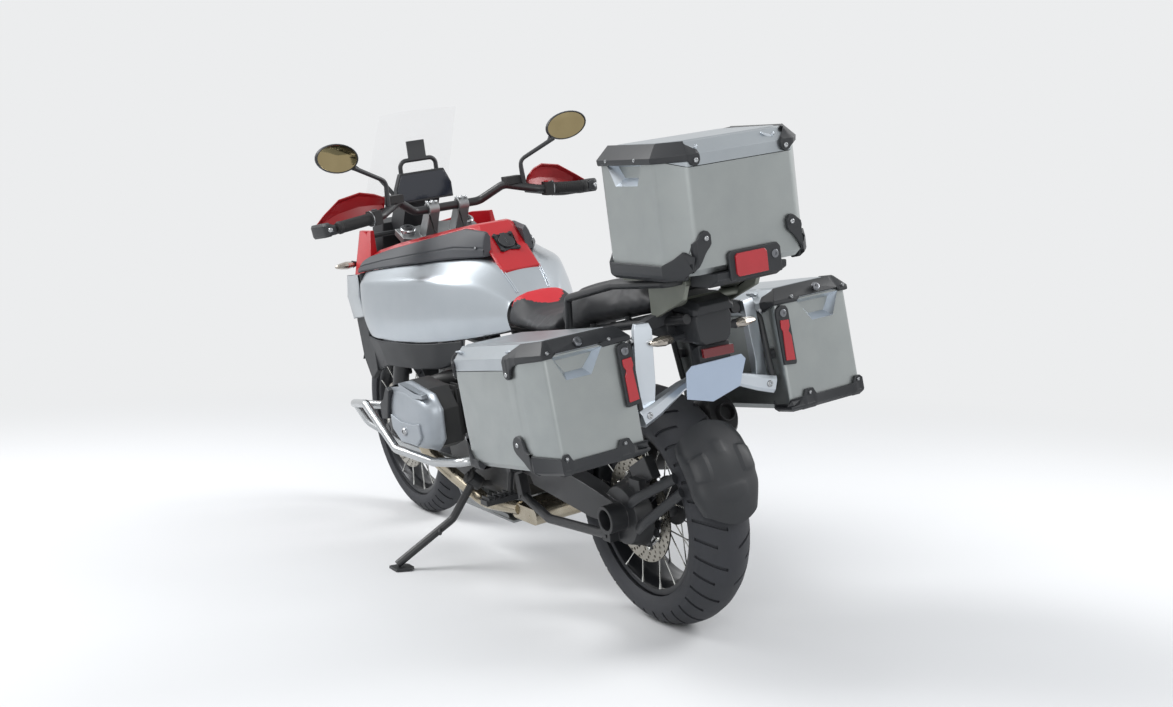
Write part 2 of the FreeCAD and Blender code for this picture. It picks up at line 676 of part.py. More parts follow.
def crash_bars():
    """Stainless bars round each cylinder, tied to the engine at front and rear."""
    upper = tube([Vector(1040, 96, 430), Vector(1090, 170, 470), Vector(1262, 336, 500),
                  Vector(1050, 366, 532), Vector(880, 356, 412), Vector(700, 318, 392),
                  Vector(540, 300, 412), Vector(540, PLATE_OUTER + SEAT_GAP, 412)], 13, 30)
    lower = tube([Vector(1196, 346, 512), Vector(1150, 330, 452), Vector(1076, 250, 370),
                  Vector(980, 116, 300)], 11, 40)
    return pair(fuse([upper, lower]).cut(engine_case()))


def telelever_arm():
    """Leading arm from the engine to the ball under the head, with its pin."""
    eye_low = BRIDGE_HEIGHT + BRIDGE_THICKNESS + 5
    eye = rod(Vector(0, 0, eye_low), Vector(0, 0, eye_low + 26), 30)
    pin = rod(Vector(0, 0, BRIDGE_HEIGHT + 4), Vector(0, 0, eye_low + 1), PIVOT_RADIUS)
    head = steer_place(fuse([eye, pin]))
    start = steer_point(-6, 0, eye_low + 18)
    knee = steer_point(-120, 16, eye_low + 14)
    arm = tube([start, knee, Vector(1074, 96, 490)], 15, 60)
    boss = rod(Vector(1074, 76, 490), Vector(1074, ARM_OUTER, 490), 22)
    seat = rod(ARM_SEAT - Y_AXIS * 34, ARM_SEAT + Y_AXIS * 34, ARM_SEAT_RADIUS)
    return fuse([head, arm, mirror(arm), boss, mirror(boss), seat])


def spring_strut(low, high, coil_radius):
    """Damper body with its spring drawn as stacked coils."""
    run = high - low
    ahead = Vector(run).normalize()
    parts = [rod(low, high, coil_radius * 0.42)]
    count = 7
    span = run.Length * 0.62
    for index in range(count):
        place = low + ahead * (run.Length * 0.2 + span * index / (count - 1))
        ring = Part.makeCylinder(coil_radius, 8, place, ahead)
        parts.append(ring)
    return fuse(parts)


def spring_struts():
    # lower seat, its radius, upper seat, its radius, spring radius
    table = [(ARM_SEAT, ARM_SEAT_RADIUS, FRAME_CROSS, FRAME_CROSS_RADIUS, 30),
             (SHOCK_EYE, SHOCK_EYE_RADIUS, SHOCK_CROSS, SHOCK_CROSS_RADIUS, 34)]
    struts = []
    for low, low_radius, high, high_radius, coil in table:
        ahead = (high - low).normalize()
        foot = low + ahead * (low_radius + SEAT_GAP)
        head = high - ahead * (high_radius + SEAT_GAP)
        struts.append(spring_strut(foot, head, coil))
    return Part.makeCompound(struts)


def swing_arm():
    """Single-sided arm on the left with the final drive and the torque strut below it."""
    beam = loft([
        [Vector(600, 92, 340), Vector(600, 116, 340), Vector(600, 116, 436), Vector(600, 92, 436)],
        [Vector(494, 92, 334), Vector(494, 118, 334), Vector(494, 118, 436), Vector(494, 92, 436)],
        [Vector(420, 96, 330), Vector(420, 148, 330), Vector(420, 148, 432), Vector(420, 96, 432)],
        [Vector(120, 96, 296), Vector(120, 146, 296), Vector(120, 146, 384), Vector(120, 96, 384)],
        [Vector(0, 98, 290), Vector(0, 132, 290), Vector(0, 132, 350), Vector(0, 98, 350)]])
    cross = prism_y([(360, 350), (600, 340), (600, 430), (360, 424)], -100, 100)
    drive = Part.makeCone(90, 76, 44, Vector(0, 78, REAR_RADIUS), Y_AXIS)
    boss = rod(Vector(0, 118, REAR_RADIUS), Vector(0, 172, REAR_RADIUS), 37)
    stub = rod(Vector(0, -52, REAR_RADIUS), Vector(0, 80, REAR_RADIUS), REAR_AXLE_STUB)
    bore = rod(Vector(0, 128, REAR_RADIUS), Vector(0, 173, REAR_RADIUS), 27)
    end = PLATE_INNER - SEAT_GAP
    shaft = rod(Vector(600, end, 386), Vector(600, -end, 386), 20)
    strut = tube([Vector(560, 112, 262), Vector(380, 134, 236), Vector(40, 138, 262)], 13, 60)
    knuckle = prism_y([(20, 300), (70, 300), (62, 246), (24, 246)], 122, 150)
    clevis = prism_y([(544, 250), (580, 250), (590, 340), (560, 340)], 96, 124)
    lug = prism_y([(348, 410), (430, 410), (378, 474), (350, 470)], -24, 24)
    eye = rod(SHOCK_EYE - Y_AXIS * 24, SHOCK_EYE + Y_AXIS * 24, SHOCK_EYE_RADIUS)
    pieces = [beam, cross, drive, boss, stub, shaft, strut, knuckle, clevis, lug, eye, rear_caliper()]
    return fuse(pieces).cut(bore).cut(pivot_plate())


def rear_caliper():
    """Rear caliper, behind and above the axle, straddling the disc."""
    angle = math.radians(118)
    middle = REAR_AXLE + Vector(math.cos(angle), 0, math.sin(angle)) * (REAR_DISC_RADIUS - 14)
    body = block(middle.x - 46, middle.x + 46, REAR_DISC_OFFSET - 10, REAR_DISC_OFFSET + 18,
                 middle.z - 26, middle.z + 34)
    body.rotate(middle, Y_AXIS, 28)
    slot_half = DISC_THICKNESS / 2 + PAD_GAP
    swept = Part.makeCylinder(REAR_DISC_RADIUS + 5, 2 * slot_half,
                              REAR_AXLE + Vector(0, REAR_DISC_OFFSET - slot_half, 0), Y_AXIS)
    bridge = block(middle.x - 20, middle.x + 30, REAR_DISC_OFFSET + slot_half, 104,
                   middle.z - 46, middle.z - 8)
    return fuse([body, bridge]).cut(swept)


def rear_hugger():
    """Short guard behind the rear tyre on two arms from the final drive."""
    inner = REAR_RADIUS + 22
    outer = inner + 5
    half = 94
    start = Vector(0, -half, REAR_RADIUS)
    ring = Part.makeCylinder(outer, 2 * half, start, Y_AXIS)
    ring = ring.cut(Part.makeCylinder(inner, 2 * half - 10, start + Vector(0, 5, 0), Y_AXIS))
    ring = ring.cut(Part.makeCylinder(REAR_RADIUS - 50, 2 * half, start, Y_AXIS))
    low, high = math.radians(176), math.radians(134)
    far = outer * 1.6
    wedge = [(0, REAR_RADIUS), (far * math.cos(high), REAR_RADIUS + far * math.sin(high)),
             (far * math.cos(low), REAR_RADIUS + far * math.sin(low))]
    guard = ring.common(prism_y(wedge, -half, half))
    arms = []
    # start x, z on the drive, then the end on the guard's side
    for x0, z0, x1, z1 in ((-36, 352, -236, 452), (-60, 290, -258, 420)):
        arms.append(tube([Vector(x0, 112, z0), Vector(x0 - 60, 134, z0 + 30), Vector(x1, 98, z1)], 11, 40))
    drive = Part.makeCone(90, 76, 44, Vector(0, 78, REAR_RADIUS), Y_AXIS)
    return fuse([guard] + arms).cut(drive).cut(swing_arm())


def footrests():
    """Rider's and passenger's pegs on their brackets, on both sides."""
    peg = prism_z([(478, 172), (532, 172), (528, 268), (486, 268)], 284, 300)
    teeth = []
    count = 6
    for index in range(count):
        y = 176 + index * 16
        teeth.append(block(482, 528, y, y + 5, 296, 308))
    arm = rod(Vector(506, 184, 291), Vector(530, 156, 362), 10)
    boss = rod(Vector(530, PLATE_OUTER + SEAT_GAP, 362), Vector(530, 168, 362), 15)
    rear_peg = rod(Vector(262, PEG_PLATE_OUTER, 470), Vector(262, 252, 470), 15)
    rear_arm = prism_y([(240, 454), (284, 454), (380, 530), (420, 556), (400, 584), (330, 552)],
                       PEG_PLATE_INNER, PEG_PLATE_OUTER)
    tie = rod(Vector(396, 112, 568), Vector(396, PEG_PLATE_OUTER, 568), 10)
    rear = fuse([rear_peg, rear_arm, tie]).cut(fuse(subframe_tubes(SEAT_GAP)))
    return Part.makeCompound([pair(fuse([peg, arm, boss] + teeth)), pair(rear)])


STAND_PIVOT = Vector(764, 172, 290)
STAND_KNEE = Vector(785, 250, 184)
STAND_AXIS = Vector(0, 0.70, 0.714).normalize()
KNUCKLE_HALF = 16.0
EAR_THICKNESS = 9.0


def floor_height(y):
    """The leaned bike's floor, seen from the upright bike's frame."""
    return y * math.tan(LEAN)


STAND_TIP_Y = 436.0


def side_stand():
    """Cranked leg with a foot plate that lies flat on the floor once the bike leans."""
    tip = Vector(812, STAND_TIP_Y, floor_height(STAND_TIP_Y) + 16)
    leg = tube([STAND_PIVOT, STAND_KNEE, tip], 12, 40)
    fork_end = rod(STAND_PIVOT - STAND_AXIS * KNUCKLE_HALF, STAND_PIVOT + STAND_AXIS * KNUCKLE_HALF, 22)
    pad = prism_z([(776, 414), (794, 398), (834, 398), (848, 416), (840, 458), (784, 458)], 0, 8)
    pad.rotate(Vector(0, 0, 0), Vector(1, 0, 0), math.degrees(LEAN))
    tang = rod(STAND_KNEE + Vector(8, 40, -22), STAND_KNEE + Vector(-34, 62, -22), 6)
    bore = rod(STAND_PIVOT - STAND_AXIS * 20, STAND_PIVOT + STAND_AXIS * 20, 8 + RUNNING_GAP)
    slab = rod(STAND_PIVOT - STAND_AXIS * 60, STAND_PIVOT - STAND_AXIS * KNUCKLE_HALF, 27)
    slab_upper = rod(STAND_PIVOT + STAND_AXIS * KNUCKLE_HALF, STAND_PIVOT + STAND_AXIS * 60, 27)
    return fuse([fuse([leg, fork_end]).cut(slab).cut(slab_upper), pad, tang]).cut(bore)


def stand_bracket():
    """Clevis on the engine's left that carries the stand's pivot bolt."""
    inner = KNUCKLE_HALF + SEAT_GAP
    outer = inner + EAR_THICKNESS
    ears = [rod(STAND_PIVOT + STAND_AXIS * (side * inner), STAND_PIVOT + STAND_AXIS * (side * outer), 22)
            for side in (1, -1)]
    bolt = rod(STAND_PIVOT - STAND_AXIS * outer, STAND_PIVOT + STAND_AXIS * (outer + 5), 8)
    middle = inner + EAR_THICKNESS / 2
    arm = rod(STAND_PIVOT - STAND_AXIS * middle, Vector(764, ENGINE_HALF - 30, 262), EAR_THICKNESS)
    upper = rod(STAND_PIVOT + STAND_AXIS * middle, Vector(764, ENGINE_HALF - 6, 352), EAR_THICKNESS)
    room = rod(STAND_PIVOT - STAND_AXIS * inner, STAND_PIVOT + STAND_AXIS * inner, 32)
    return fuse([fuse(ears + [arm, upper]).cut(room), bolt])


# Tank and bodywork

# Station x, then half widths and heights: flank's top edge, crease, widest, bottom
TANK_STATIONS = [
    (545, (50, 850), (88, 838), (112, 800), (96, 748)),
    (604, (62, 916), (124, 866), (158, 800), (140, 736)),
    (668, (76, 952), (172, 892), (206, 800), (186, 728)),
    (770, (142, 952), (218, 906), (250, 800), (232, 720)),
    (880, (200, 946), (250, 902), (276, 800), (262, 716)),
    (1060, (246, 930), (280, 892), (296, 800), (284, 714)),
    (1170, (268, 918), (284, 886), (290, 800), (270, 716)),
]
# The crest over each station from the third on: half width and height
CREST = [(62, 1024), (76, 1034), (138, 1014), (196, 984), (232, 960)]
TANK_BELLY = 92.0
TANK_TUNNEL = 852.0


def fuel_tank():
    """Aluminium tank: two flanks joined over the frame, open in front for the fork."""
    sections = []
    for x, top, crease, wide, low in TANK_STATIONS:
        belly = min(TANK_BELLY, low[0] - 12)
        tunnel = min(TANK_TUNNEL, top[1] - 30)
        half = [(belly, tunnel), (belly, low[1]), low, wide, crease, top]
        outline = half + [(-y, z) for y, z in reversed(half)]
        sections.append([Vector(x, y, z) for y, z in outline])
    shell = loft(sections)
    pocket = block(1030, 1200, -152, 152, 700, 1000)
    return shell.cut(pocket)


def tank_pads():
    """Dark rubber strips between the tank's top edge and the red cover."""
    sections = []
    for station, high in zip(TANK_STATIONS[2:], CREST):
        x, low = station[0], station[1]
        z_low = low[1] + SEAT_GAP
        sections.append([Vector(x, low[0], z_low), Vector(x, high[0], high[1]),
                         Vector(x, high[0] - 7, high[1] - 10), Vector(x, low[0] - 22, z_low)])
    return pair(loft(sections))


def tank_cover():
    """Red cover over the crest, sloping down behind to the seat, with two front horns."""
    # x, half width of the top, height, half width at the foot, height of the foot
    table = [(598, 58, 914, 61, 908), (668, 54, 976, 66, 960), (740, 50, 1041, 66, 1030),
             (770, 58, 1042, 75, 1035), (880, 112, 1026, 137, 1015)]
    sections = []
    for x, top, z, foot, low in table:
        floor = low - 12
        half = [(foot, floor), (foot, low), (top, z)]
        outline = half + [(-y, h) for y, h in reversed(half)]
        sections.append([Vector(x, y, h) for y, h in outline])
    hood = loft(sections)
    horn = []
    for x, top, z, foot, low in ((870, 100, 1028, 134, 1017), (1060, 166, 998, 195, 985),
                                 (1160, 204, 976, 229, 962)):
        horn.append([Vector(x, top - 14, z - 20), Vector(x, foot, low - 12), Vector(x, foot, low),
                     Vector(x, top, z), Vector(x, top - 14, z - 2)])
    neck = loft([[Vector(876, 0, 1002), Vector(876, 120, 1002), Vector(876, 100, 1026), Vector(876, 0, 1026)],
                 [Vector(975, 0, 984), Vector(975, 150, 984), Vector(975, 134, 1006), Vector(975, 0, 1006)]])
    arms = [loft(horn), neck]
    whole = fuse([hood] + arms + [mirror(part) for part in arms])
    return whole.cut(tank_pads()).cut(fuel_tank()).cut(filler_recess())


FILLER_SLOPE = math.atan2(65, 72)
FILLER_CENTRE = Vector(676, 0, 983.2)
FILLER_HALF_LENGTH = 36.0
FILLER_HALF_WIDTH = 34.0
CAP_RADIUS = 25.0
CAP_THICKNESS = 7.0


def filler_frame(shape):
    """Turn a shape drawn on the ground plane onto the cover's rear slope."""
    placed = shape.copy()
    placed.rotate(Vector(0, 0, 0), Y_AXIS, -math.degrees(FILLER_SLOPE))
    placed.translate(FILLER_CENTRE)
    return placed


def filler_recess():
    return filler_frame(Part.makeCylinder(CAP_RADIUS + 2, 20, Vector(0, 0, -14)))


def filler_plate():
    """Black frame plate round the filler, with four screw bosses."""
    points = [(-30, -34), (-12, -28), (12, -28), (30, -34), (36, -26), (30, 0), (36, 26), (30, 34),
              (12, 28), (-12, 28), (-30, 34), (-36, 26), (-30, 0), (-36, -26)]
    plate = prism_z(points, 0.3, 4)
    bosses = [Part.makeCylinder(6, 4, Vector(x, y, 3.5)) for x in (-29, 29) for y in (-26, 26)]
    hole = Part.makeCylinder(CAP_RADIUS + 1, 20, Vector(0, 0, -6))
    return filler_frame(fuse([plate] + bosses).cut(hole))


def fuel_cap():
    """Round cap hinged at its upper edge."""
    cap = Part.makeCylinder(CAP_RADIUS, CAP_THICKNESS, Vector(0, 0, 1))
    tab = block(CAP_RADIUS - 6, CAP_RADIUS + 8, -9, 9, 4.6, CAP_THICKNESS + 1)
    ridge = block(-16, 16, -2.5, 2.5, CAP_THICKNESS, CAP_THICKNESS + 3)
    return filler_frame(fuse([cap, tab, ridge]))


CAP_HINGE_LOCAL = Vector(CAP_RADIUS + 8, 0, 6.3)


def side_trim():
    """Black lower panels under the tank and the tall deflectors in front of it."""
    sections = []
    # Half width and height of the trim's lower edge under each tank station
    feet = [(196, 662), (228, 641), (252, 634), (268, 630), (262, 602)]
    for station, (foot, z_foot) in zip(TANK_STATIONS[2:], feet):
        x, low = station[0], station[4]
        top, z_top = low[0] + 6, low[1] - 2 * SEAT_GAP
        sections.append([Vector(x, top, z_top), Vector(x, foot, z_foot), Vector(x, foot - 8, z_foot),
                         Vector(x, top - 8, z_top)])
    lower = loft(sections)
    back, under = TANK_STATIONS[-1][0] + SEAT_GAP, TANK_STATIONS[-1][4][1] - 4 * SEAT_GAP
    front = prism_y([(back - 20, 606), (1210, 570), (1250, 640), (1262, 760), (1216, 900), (back, 916),
                     (back, under), (back - 20, under)], 252, 272)
    return pair(fuse([lower, front]))


def radiator_cowls():
    """Pale panels beside the radiators, on the front of each flank."""
    sections = [[Vector(x, y - 4, low), Vector(x, y, low), Vector(x, y + 8, (low + high) / 2),
                 Vector(x, y, high), Vector(x, y - 4, high)]
                for x, y, low, high in ((1184, 276, 776, 912), (1260, 282, 766, 906), (1322, 262, 786, 880))]
    return pair(loft(sections))


def radiators():
    """Upright cooler on each side, behind the nose, in its black frame."""
    core = block(1276, 1312, 164, 250, 690, 860)
    fins = [block(1312, 1318, 170, 244, z, z + 5) for z in range(700, 856, 16)]
    bracket = block(1262, 1280, 236, 253, 700, 860)
    return pair(fuse([core, bracket] + fins))


def front_fairing():
    """Beak over the front wheel and the shoulders that run back to the tank."""
    sections = []
    # x, half width, z of the spine, z of the edge, thickness
    for x, half, spine, edge, thick in ((1400, 150, 925, 862, 14), (1500, 128, 905, 846, 12),
                                        (1640, 84, 872, 836, 10), (1752, 34, 838, 826, 8)):
        sections.append([Vector(x, -half, edge), Vector(x, -half * 0.55, spine - 4), Vector(x, 0, spine),
                         Vector(x, half * 0.55, spine - 4), Vector(x, half, edge),
                         Vector(x, half, edge - thick), Vector(x, half * 0.5, spine - 6 - thick),
                         Vector(x, 0, spine - thick - 4), Vector(x, -half * 0.5, spine - 6 - thick),
                         Vector(x, -half, edge - thick)])
    beak = loft(sections)
    shoulder = loft([
        [Vector(1172, 204, 950), Vector(1172, 232, 934), Vector(1172, 216, 1040), Vector(1172, 204, 1040)],
        [Vector(1290, 190, 880), Vector(1290, 252, 870), Vector(1290, 206, 1036), Vector(1290, 192, 1036)],
        [Vector(1420, 128, 866), Vector(1420, 168, 866), Vector(1420, 136, 1010), Vector(1420, 126, 1010)]])
    return fuse([beak, shoulder, mirror(shoulder)])


def headlight():
    """Lamp housing between the shoulders, twin round lenses."""
    sections = [[Vector(x, -half, low), Vector(x, half, low), Vector(x, half * 0.84, high),
                 Vector(x, -half * 0.84, high)]
                for x, half, low, high in ((1369 + SEAT_GAP, 108, 936, 1040), (1430, 120, 932, 1052),
                                           (1470, 96, 940, 1020))]
    shell = loft(sections)
    lenses = [rod(Vector(1450, s * 52, 982), Vector(1478, s * 46, 980), 34) for s in (1, -1)]
    return fuse([shell] + lenses)


def windscreen():
    """Curved clear screen, raked back over the display."""
    def bow(x, half, z, bulge):
        ends = [Vector(x - bulge, y, z - 6) for y in (-half, half)]
        return Part.Arc(ends[0], Vector(x, 0, z), ends[1]).toShape()
    sheet = Part.makeRuledSurface(bow(1416, 150, 1108, 46), bow(1198, 132, 1392, 34))
    return sheet.extrude(Vector(-3.2, 0, -2.4))


def cockpit_frame():
    """Bracket between the nose, screen and display, with the device bar over it."""
    side = [(1300, 990), (1369, 1000), (1369, 1046), (1262, 1176), (1222, 1176), (1222, 1110)]
    plate = prism_y(side, -60, 60)
    loop = tube([Vector(1226, 62, 1160), Vector(1222, 62, 1236), Vector(1222, -62, 1236),
                 Vector(1226, -62, 1160)], 7, 22)
    tag = block(1216, 1226, -30, 30, 1238, 1296)
    arm = rod(Vector(1290, 55, 1110), Vector(1330, 96, 1190), 7)
    stay = tube([Vector(1310, 56, 1010), Vector(1300, 130, 1012), Vector(1292, 196, 1010)], 8, 30)
    frame = fuse([plate, loop, tag, display(), arm, mirror(arm), stay, mirror(stay)])
    trimmed = frame.cut(windscreen()).cut(front_fairing())
    return max(trimmed.Solids, key=lambda solid: solid.Volume)


def display():
    """Flat instrument housing with its raised bezel, facing the rider."""
    face_plate = [(-97, 1104), (97, 1104), (97, 1150), (76, 1198), (-76, 1198), (-97, 1150)]
    body = prism_x(face_plate, 1199, 1222)
    rim_cut = prism_x([(-88, 1112), (88, 1112), (88, 1148), (70, 1190), (-70, 1190), (-88, 1148)], 1199, 1202)
    return body.cut(rim_cut)


# Seats, rails and rack

def seat_loft(table):
    """Cushion block from stations: x, half width, low z, side z, top z."""
    sections = []
    for x, half, low, side, top in table:
        sections.append([Vector(x, -half, low), Vector(x, half, low), Vector(x, half + 6, side),
                         Vector(x, half * 0.7, top), Vector(x, -half * 0.7, top), Vector(x, -half - 6, side)])
    return loft(sections)


def rider_seat():
    return seat_loft([(538, 56, 780, 808, 846), (430, 104, 772, 794, 830), (320, 136, 774, 792, 822),
                      (196, 138, 782, 802, 846)])


def pillion_seat():
    return seat_loft([(188, 124, 784, 840, 878), (120, 126, 800, 850, 902), (-60, 120, 836, 868, 906),
                      (-232, 88, 864, 882, 906)])


def grab_rails():
    rail = tube([Vector(94, 104, 782), Vector(94, 150, 790), Vector(78, 150, 884), Vector(-150, 150, 930),
                 Vector(-378, 146, 946), Vector(-378, RACK_HALF + SEAT_GAP, 946)], 10, 16)
    return pair(rail.cut(fuse(subframe_tubes(SEAT_GAP))))


def luggage_rack():
    """Cast sides, rack plate and the foot that the top case locks onto."""
    cheek = [(-238, 850), (-262, 852), (-380, 900), (-398, 936), (-238, 936)]
    sides = prism_y(cheek, RACK_HALF - 12, RACK_HALF)
    plate = block(-398, -130, -RACK_HALF, RACK_HALF, 934, 946)
    for x in (-384, -320, -250, -180):
        plate = plate.cut(block(x, x + 36, -80, 80, 930, 950))
    foot = block(-398, -200, -60, 60, 942, TOP_FLOOR - SEAT_GAP)
    tie = rod(Vector(-300, -RACK_HALF + 6, 882), Vector(-300, RACK_HALF - 6, 882), 9)
    legs = [rod(Vector(-250, y, 830), Vector(-250, y, 884), 9) for y in (94, -94)]
    arms = [rod(Vector(-250, y, 862), Vector(-250, y * 1.1, 862), 9) for y in (94, -94)]
    rack = fuse([sides, mirror(sides), plate, foot, tie] + legs + arms)
    rails = subframe_tubes(SEAT_GAP)
    return rack.cut(fuse(rails)).cut(fuse([mirror(part) for part in rails]))


def tail_unit():
    """Black tray, lamp box and plate holder under the rack."""
    tray = prism_y([(-120, 808), (-120, 836), (-236, 850), (-262, 846), (-262, 796), (-200, 798)], -84, 84)
    # x and z of the lamp box's corners with their half widths, in front and behind
    ends = (((-240, 776, 58), (-240, 880, 62)), ((-318, 770, 48), (-330, 866, 56)))
    lamp = loft([[Vector(low[0], -low[2], low[1]), Vector(low[0], low[2], low[1]),
                  Vector(high[0], high[2], high[1]), Vector(high[0], -high[2], high[1])]
                 for low, high in ends])
    holder = prism_y([(-286, 780), (-318, 776), (-334, 742), (-322, 736), (-296, 764)], -46, 46)
    strut = prism_y([(-318, 760), (-332, 744), (-346, 690), (-336, 688)], -20, 20)
    glass = block(-342, -330, -34, 34, 742, 764)
    rails = subframe_tubes(SEAT_GAP)
    unit = fuse([tray, lamp, holder, strut, glass]).cut(number_plate()).cut(tail_bar(SEAT_GAP))
    return unit.cut(fuse(rails)).cut(fuse([mirror(part) for part in rails]))


def number_plate():
    """Blank plate, tapered to a shallow point at its foot."""
    outline = [(-87, 0), (87, 0), (76, -84), (0, -100), (-76, -84)]
    plate = prism_z([(-z, y) for y, z in outline], 0, 3)
    plate.rotate(Vector(0, 0, 0), Y_AXIS, 180 - math.degrees(math.atan2(80, -26)))
    plate.translate(Vector(-330, 0, 734))
    return plate


def indicators():
    """Lamps on short stalks: the rear pair at the tail, the front pair on the nose."""
    lamps = []
    # x, y of the root, y of the tip, z
    for x, root, tip, z in ((-286, 40, 152, 800), (1330, 180, 290, 930)):
        stalk = rod(Vector(x, root, z), Vector(x, tip - 50, z), 7)
        rings = []
        for share, wide, high in ((0.0, 9, 8), (0.35, 20, 13), (1.0, 10, 7)):
            y = tip - 56 + 56 * share
            turns = [t * math.pi / 4 for t in range(8)]
            rings.append([Vector(x + wide * math.cos(t), y, z + high * math.sin(t)) for t in turns])
        lamps.append(fuse([stalk, loft(rings)]))
    pairs = Part.makeCompound([lamp for one in lamps for lamp in both(one)])
    return pairs.cut(front_fairing()).cut(tail_unit())


def case_carriers():
    """Tube loop behind each side case, the silver strut and the cross bar."""
    y = CASE_REAR.y - 20
    loop = tube([Vector(-243, 142, 822), Vector(-250, y, 800), Vector(-280, y, 636), Vector(120, y, 588),
                 Vector(160, y, 740), Vector(132, 104, 776)], 8, 16)
    strut = prism_x([(142, 830), (168, 826), (186, 640), (158, 630)], -262, -250)
    pucks = [rod(Vector(x, y + 4, z), Vector(x, CASE_REAR.y - SEAT_GAP, z), 14)
             for x, z in ((-262, 700), (132, 664))]
    cross = rod(Vector(-262, 172, 640), Vector(-250, 0, 684), 13)
    half = fuse([loop, strut, cross] + pucks).cut(fuse(subframe_tubes(SEAT_GAP)))
    return fuse([half, mirror(half)])


# Cases

def tip_case(shape, side):
    """Stand a left side case in its tipped place, or mirror it to the right."""
    placed = shape.copy()
    placed.rotate(Vector(0, 0, 0), Y_AXIS, math.degrees(CASE_PITCH))
    placed.translate(CASE_REAR)
    return placed if side > 0 else mirror(placed)


CASE_PLAN = [(0, 0), (CASE_LENGTH, 0), (CASE_LENGTH, CASE_DEPTH - 22), (CASE_LENGTH - 40, CASE_DEPTH),
             (90, CASE_DEPTH), (0, CASE_DEPTH - 20)]
TOP_PLAN = [(0, -TOP_WIDTH / 2 + 52), (56, -TOP_WIDTH / 2), (TOP_LENGTH - 40, -TOP_WIDTH / 2),
            (TOP_LENGTH, -TOP_WIDTH / 2 + 36), (TOP_LENGTH, TOP_WIDTH / 2 - 36),
            (TOP_LENGTH - 40, TOP_WIDTH / 2), (56, TOP_WIDTH / 2), (0, TOP_WIDTH / 2 - 52)]
LID_BEVEL = 26.0
LID_EDGE = 0.5


def box_shell(plan, height):
    """Open box with a bevelled foot, walls and floor of one thickness."""
    def solid(outline, low, bevel):
        foot = inset(outline, -bevel)
        rings = [[Vector(x, y, low) for x, y in foot], [Vector(x, y, low + bevel) for x, y in outline],
                 [Vector(x, y, height) for x, y in outline]]
        return loft(rings)
    bevel = 14
    outer = solid(plan, 0, bevel)
    inner = solid(inset(plan, -CASE_WALL), CASE_WALL, bevel)
    return outer.cut(inner)


def lid_shell(plan, height, lid):
    """Hollow lid: a straight skirt, then a bevel up to the flat raised top."""
    def solid(outline, low, skirt, top):
        crown = inset(outline, -LID_BEVEL)
        rings = [[Vector(x, y, low) for x, y in outline], [Vector(x, y, skirt) for x, y in outline],
                 [Vector(x, y, top) for x, y in crown]]
        return loft(rings)
    low = height + LID_SEAM
    outer = solid(plan, low, height + lid * LID_EDGE, height + lid)
    inner = solid(inset(plan, -CASE_WALL), low, height + lid * LID_EDGE - 1, height + lid - CASE_WALL)
    return outer.cut(inner)


def band(plan, low, high):
    """Closed band that wraps a plan just outside its walls."""
    outer = prism_z(inset(plan, GUARD_GAP + GUARD_THICKNESS), low, high)
    return outer.cut(prism_z(inset(plan, GUARD_GAP), low, high))


def low_guards(plan, length, latch_low, latch_high):
    """Corner guards round the foot of a box at both ends, turned up at their tips."""
    ring = band(plan, -7, 60)
    sole = prism_z(inset(plan, GUARD_GAP + GUARD_THICKNESS), -7, -GUARD_GAP)
    rear = [(-20, -8), (128, -8), (118, 56), (98, 60), (84, 30), (-20, 26)]
    front = [(length + 20, -8), (length - 96, -8), (length - 88, 44), (length - 70, 48),
             (length - 56, 24), (length + 20, 22)]
    far = 400
    region = fuse([prism_y(rear, -far, far), prism_y(front, -far, far)])
    ears = [block(-20, 1, y - 13, y + 13, 0, 50) for y in (latch_low, latch_high)]
    return fuse([fuse([ring, sole]).common(region), ring.common(fuse(ears))])


def lid_guards_side(plan, height, lid, length):
    """Guards on a side case's lid at both ends, reaching down at their tips."""
    top = height + lid * LID_EDGE
    ring = band(plan, height + LID_SEAM + 1, top + 9)
    cap = prism_z(inset(plan, GUARD_GAP + GUARD_THICKNESS), top, top + 9)
    keep_off = lid_keep_off(plan, height, lid)
    rear = [(-20, height + 14), (-20, top + 20), (78, top + 20), (112, height + 2), (88, height + 2),
            (56, height + 10)]
    front = [(length + 20, height + 6), (length + 20, top + 20), (length - 46, top + 20),
             (length - 66, height + 2), (length - 40, height + 2)]
    far = 400
    region = fuse([prism_y(rear, -far, far), prism_y(front, -far, far)])
    return fuse([ring, cap]).cut(keep_off).common(region)


def lid_keep_off(plan, height, lid):
    """The lid's outside with the guards' small gap round it."""
    outline = inset(plan, GUARD_GAP)
    crown = inset(plan, GUARD_GAP - LID_BEVEL)
    skirt = height + lid * LID_EDGE
    levels = ((outline, height - 2), (outline, skirt + GUARD_GAP), (crown, height + lid + GUARD_GAP * 2))
    return loft([[Vector(x, y, z) for x, y in plan_at] for plan_at, z in levels])


def side_box(side):
    box = box_shell(CASE_PLAN, CASE_HEIGHT)
    pocket, lining = handle_pocket(CASE_DEPTH / 2, CASE_HEIGHT)
    box = fuse([box, lining]).cut(pocket)
    return tip_case(box, side)


def handle_pocket(middle, height):
    """Tapered hand hold pressed into the rear wall, and the metal round it."""
    def taper(half_top, half_low, low, high, inward, outward):
        mouth = [Vector(outward, middle - half_low, low), Vector(outward, middle + half_low, low),
                 Vector(outward, middle + half_top, high), Vector(outward, middle - half_top, high)]
        in_low, in_top = half_low - 14, half_top - 14
        back = [Vector(inward, middle - in_low, low + 22), Vector(inward, middle + in_low, low + 22),
                Vector(inward, middle + in_top, high), Vector(inward, middle - in_top, high)]
        return loft([mouth, back])
    high = height - 12
    pocket = taper(62, 40, high - 78, high, 22, -0.1)
    lining = taper(65, 43, high - 82, high + 3, 25, 0.0)
    return pocket, lining


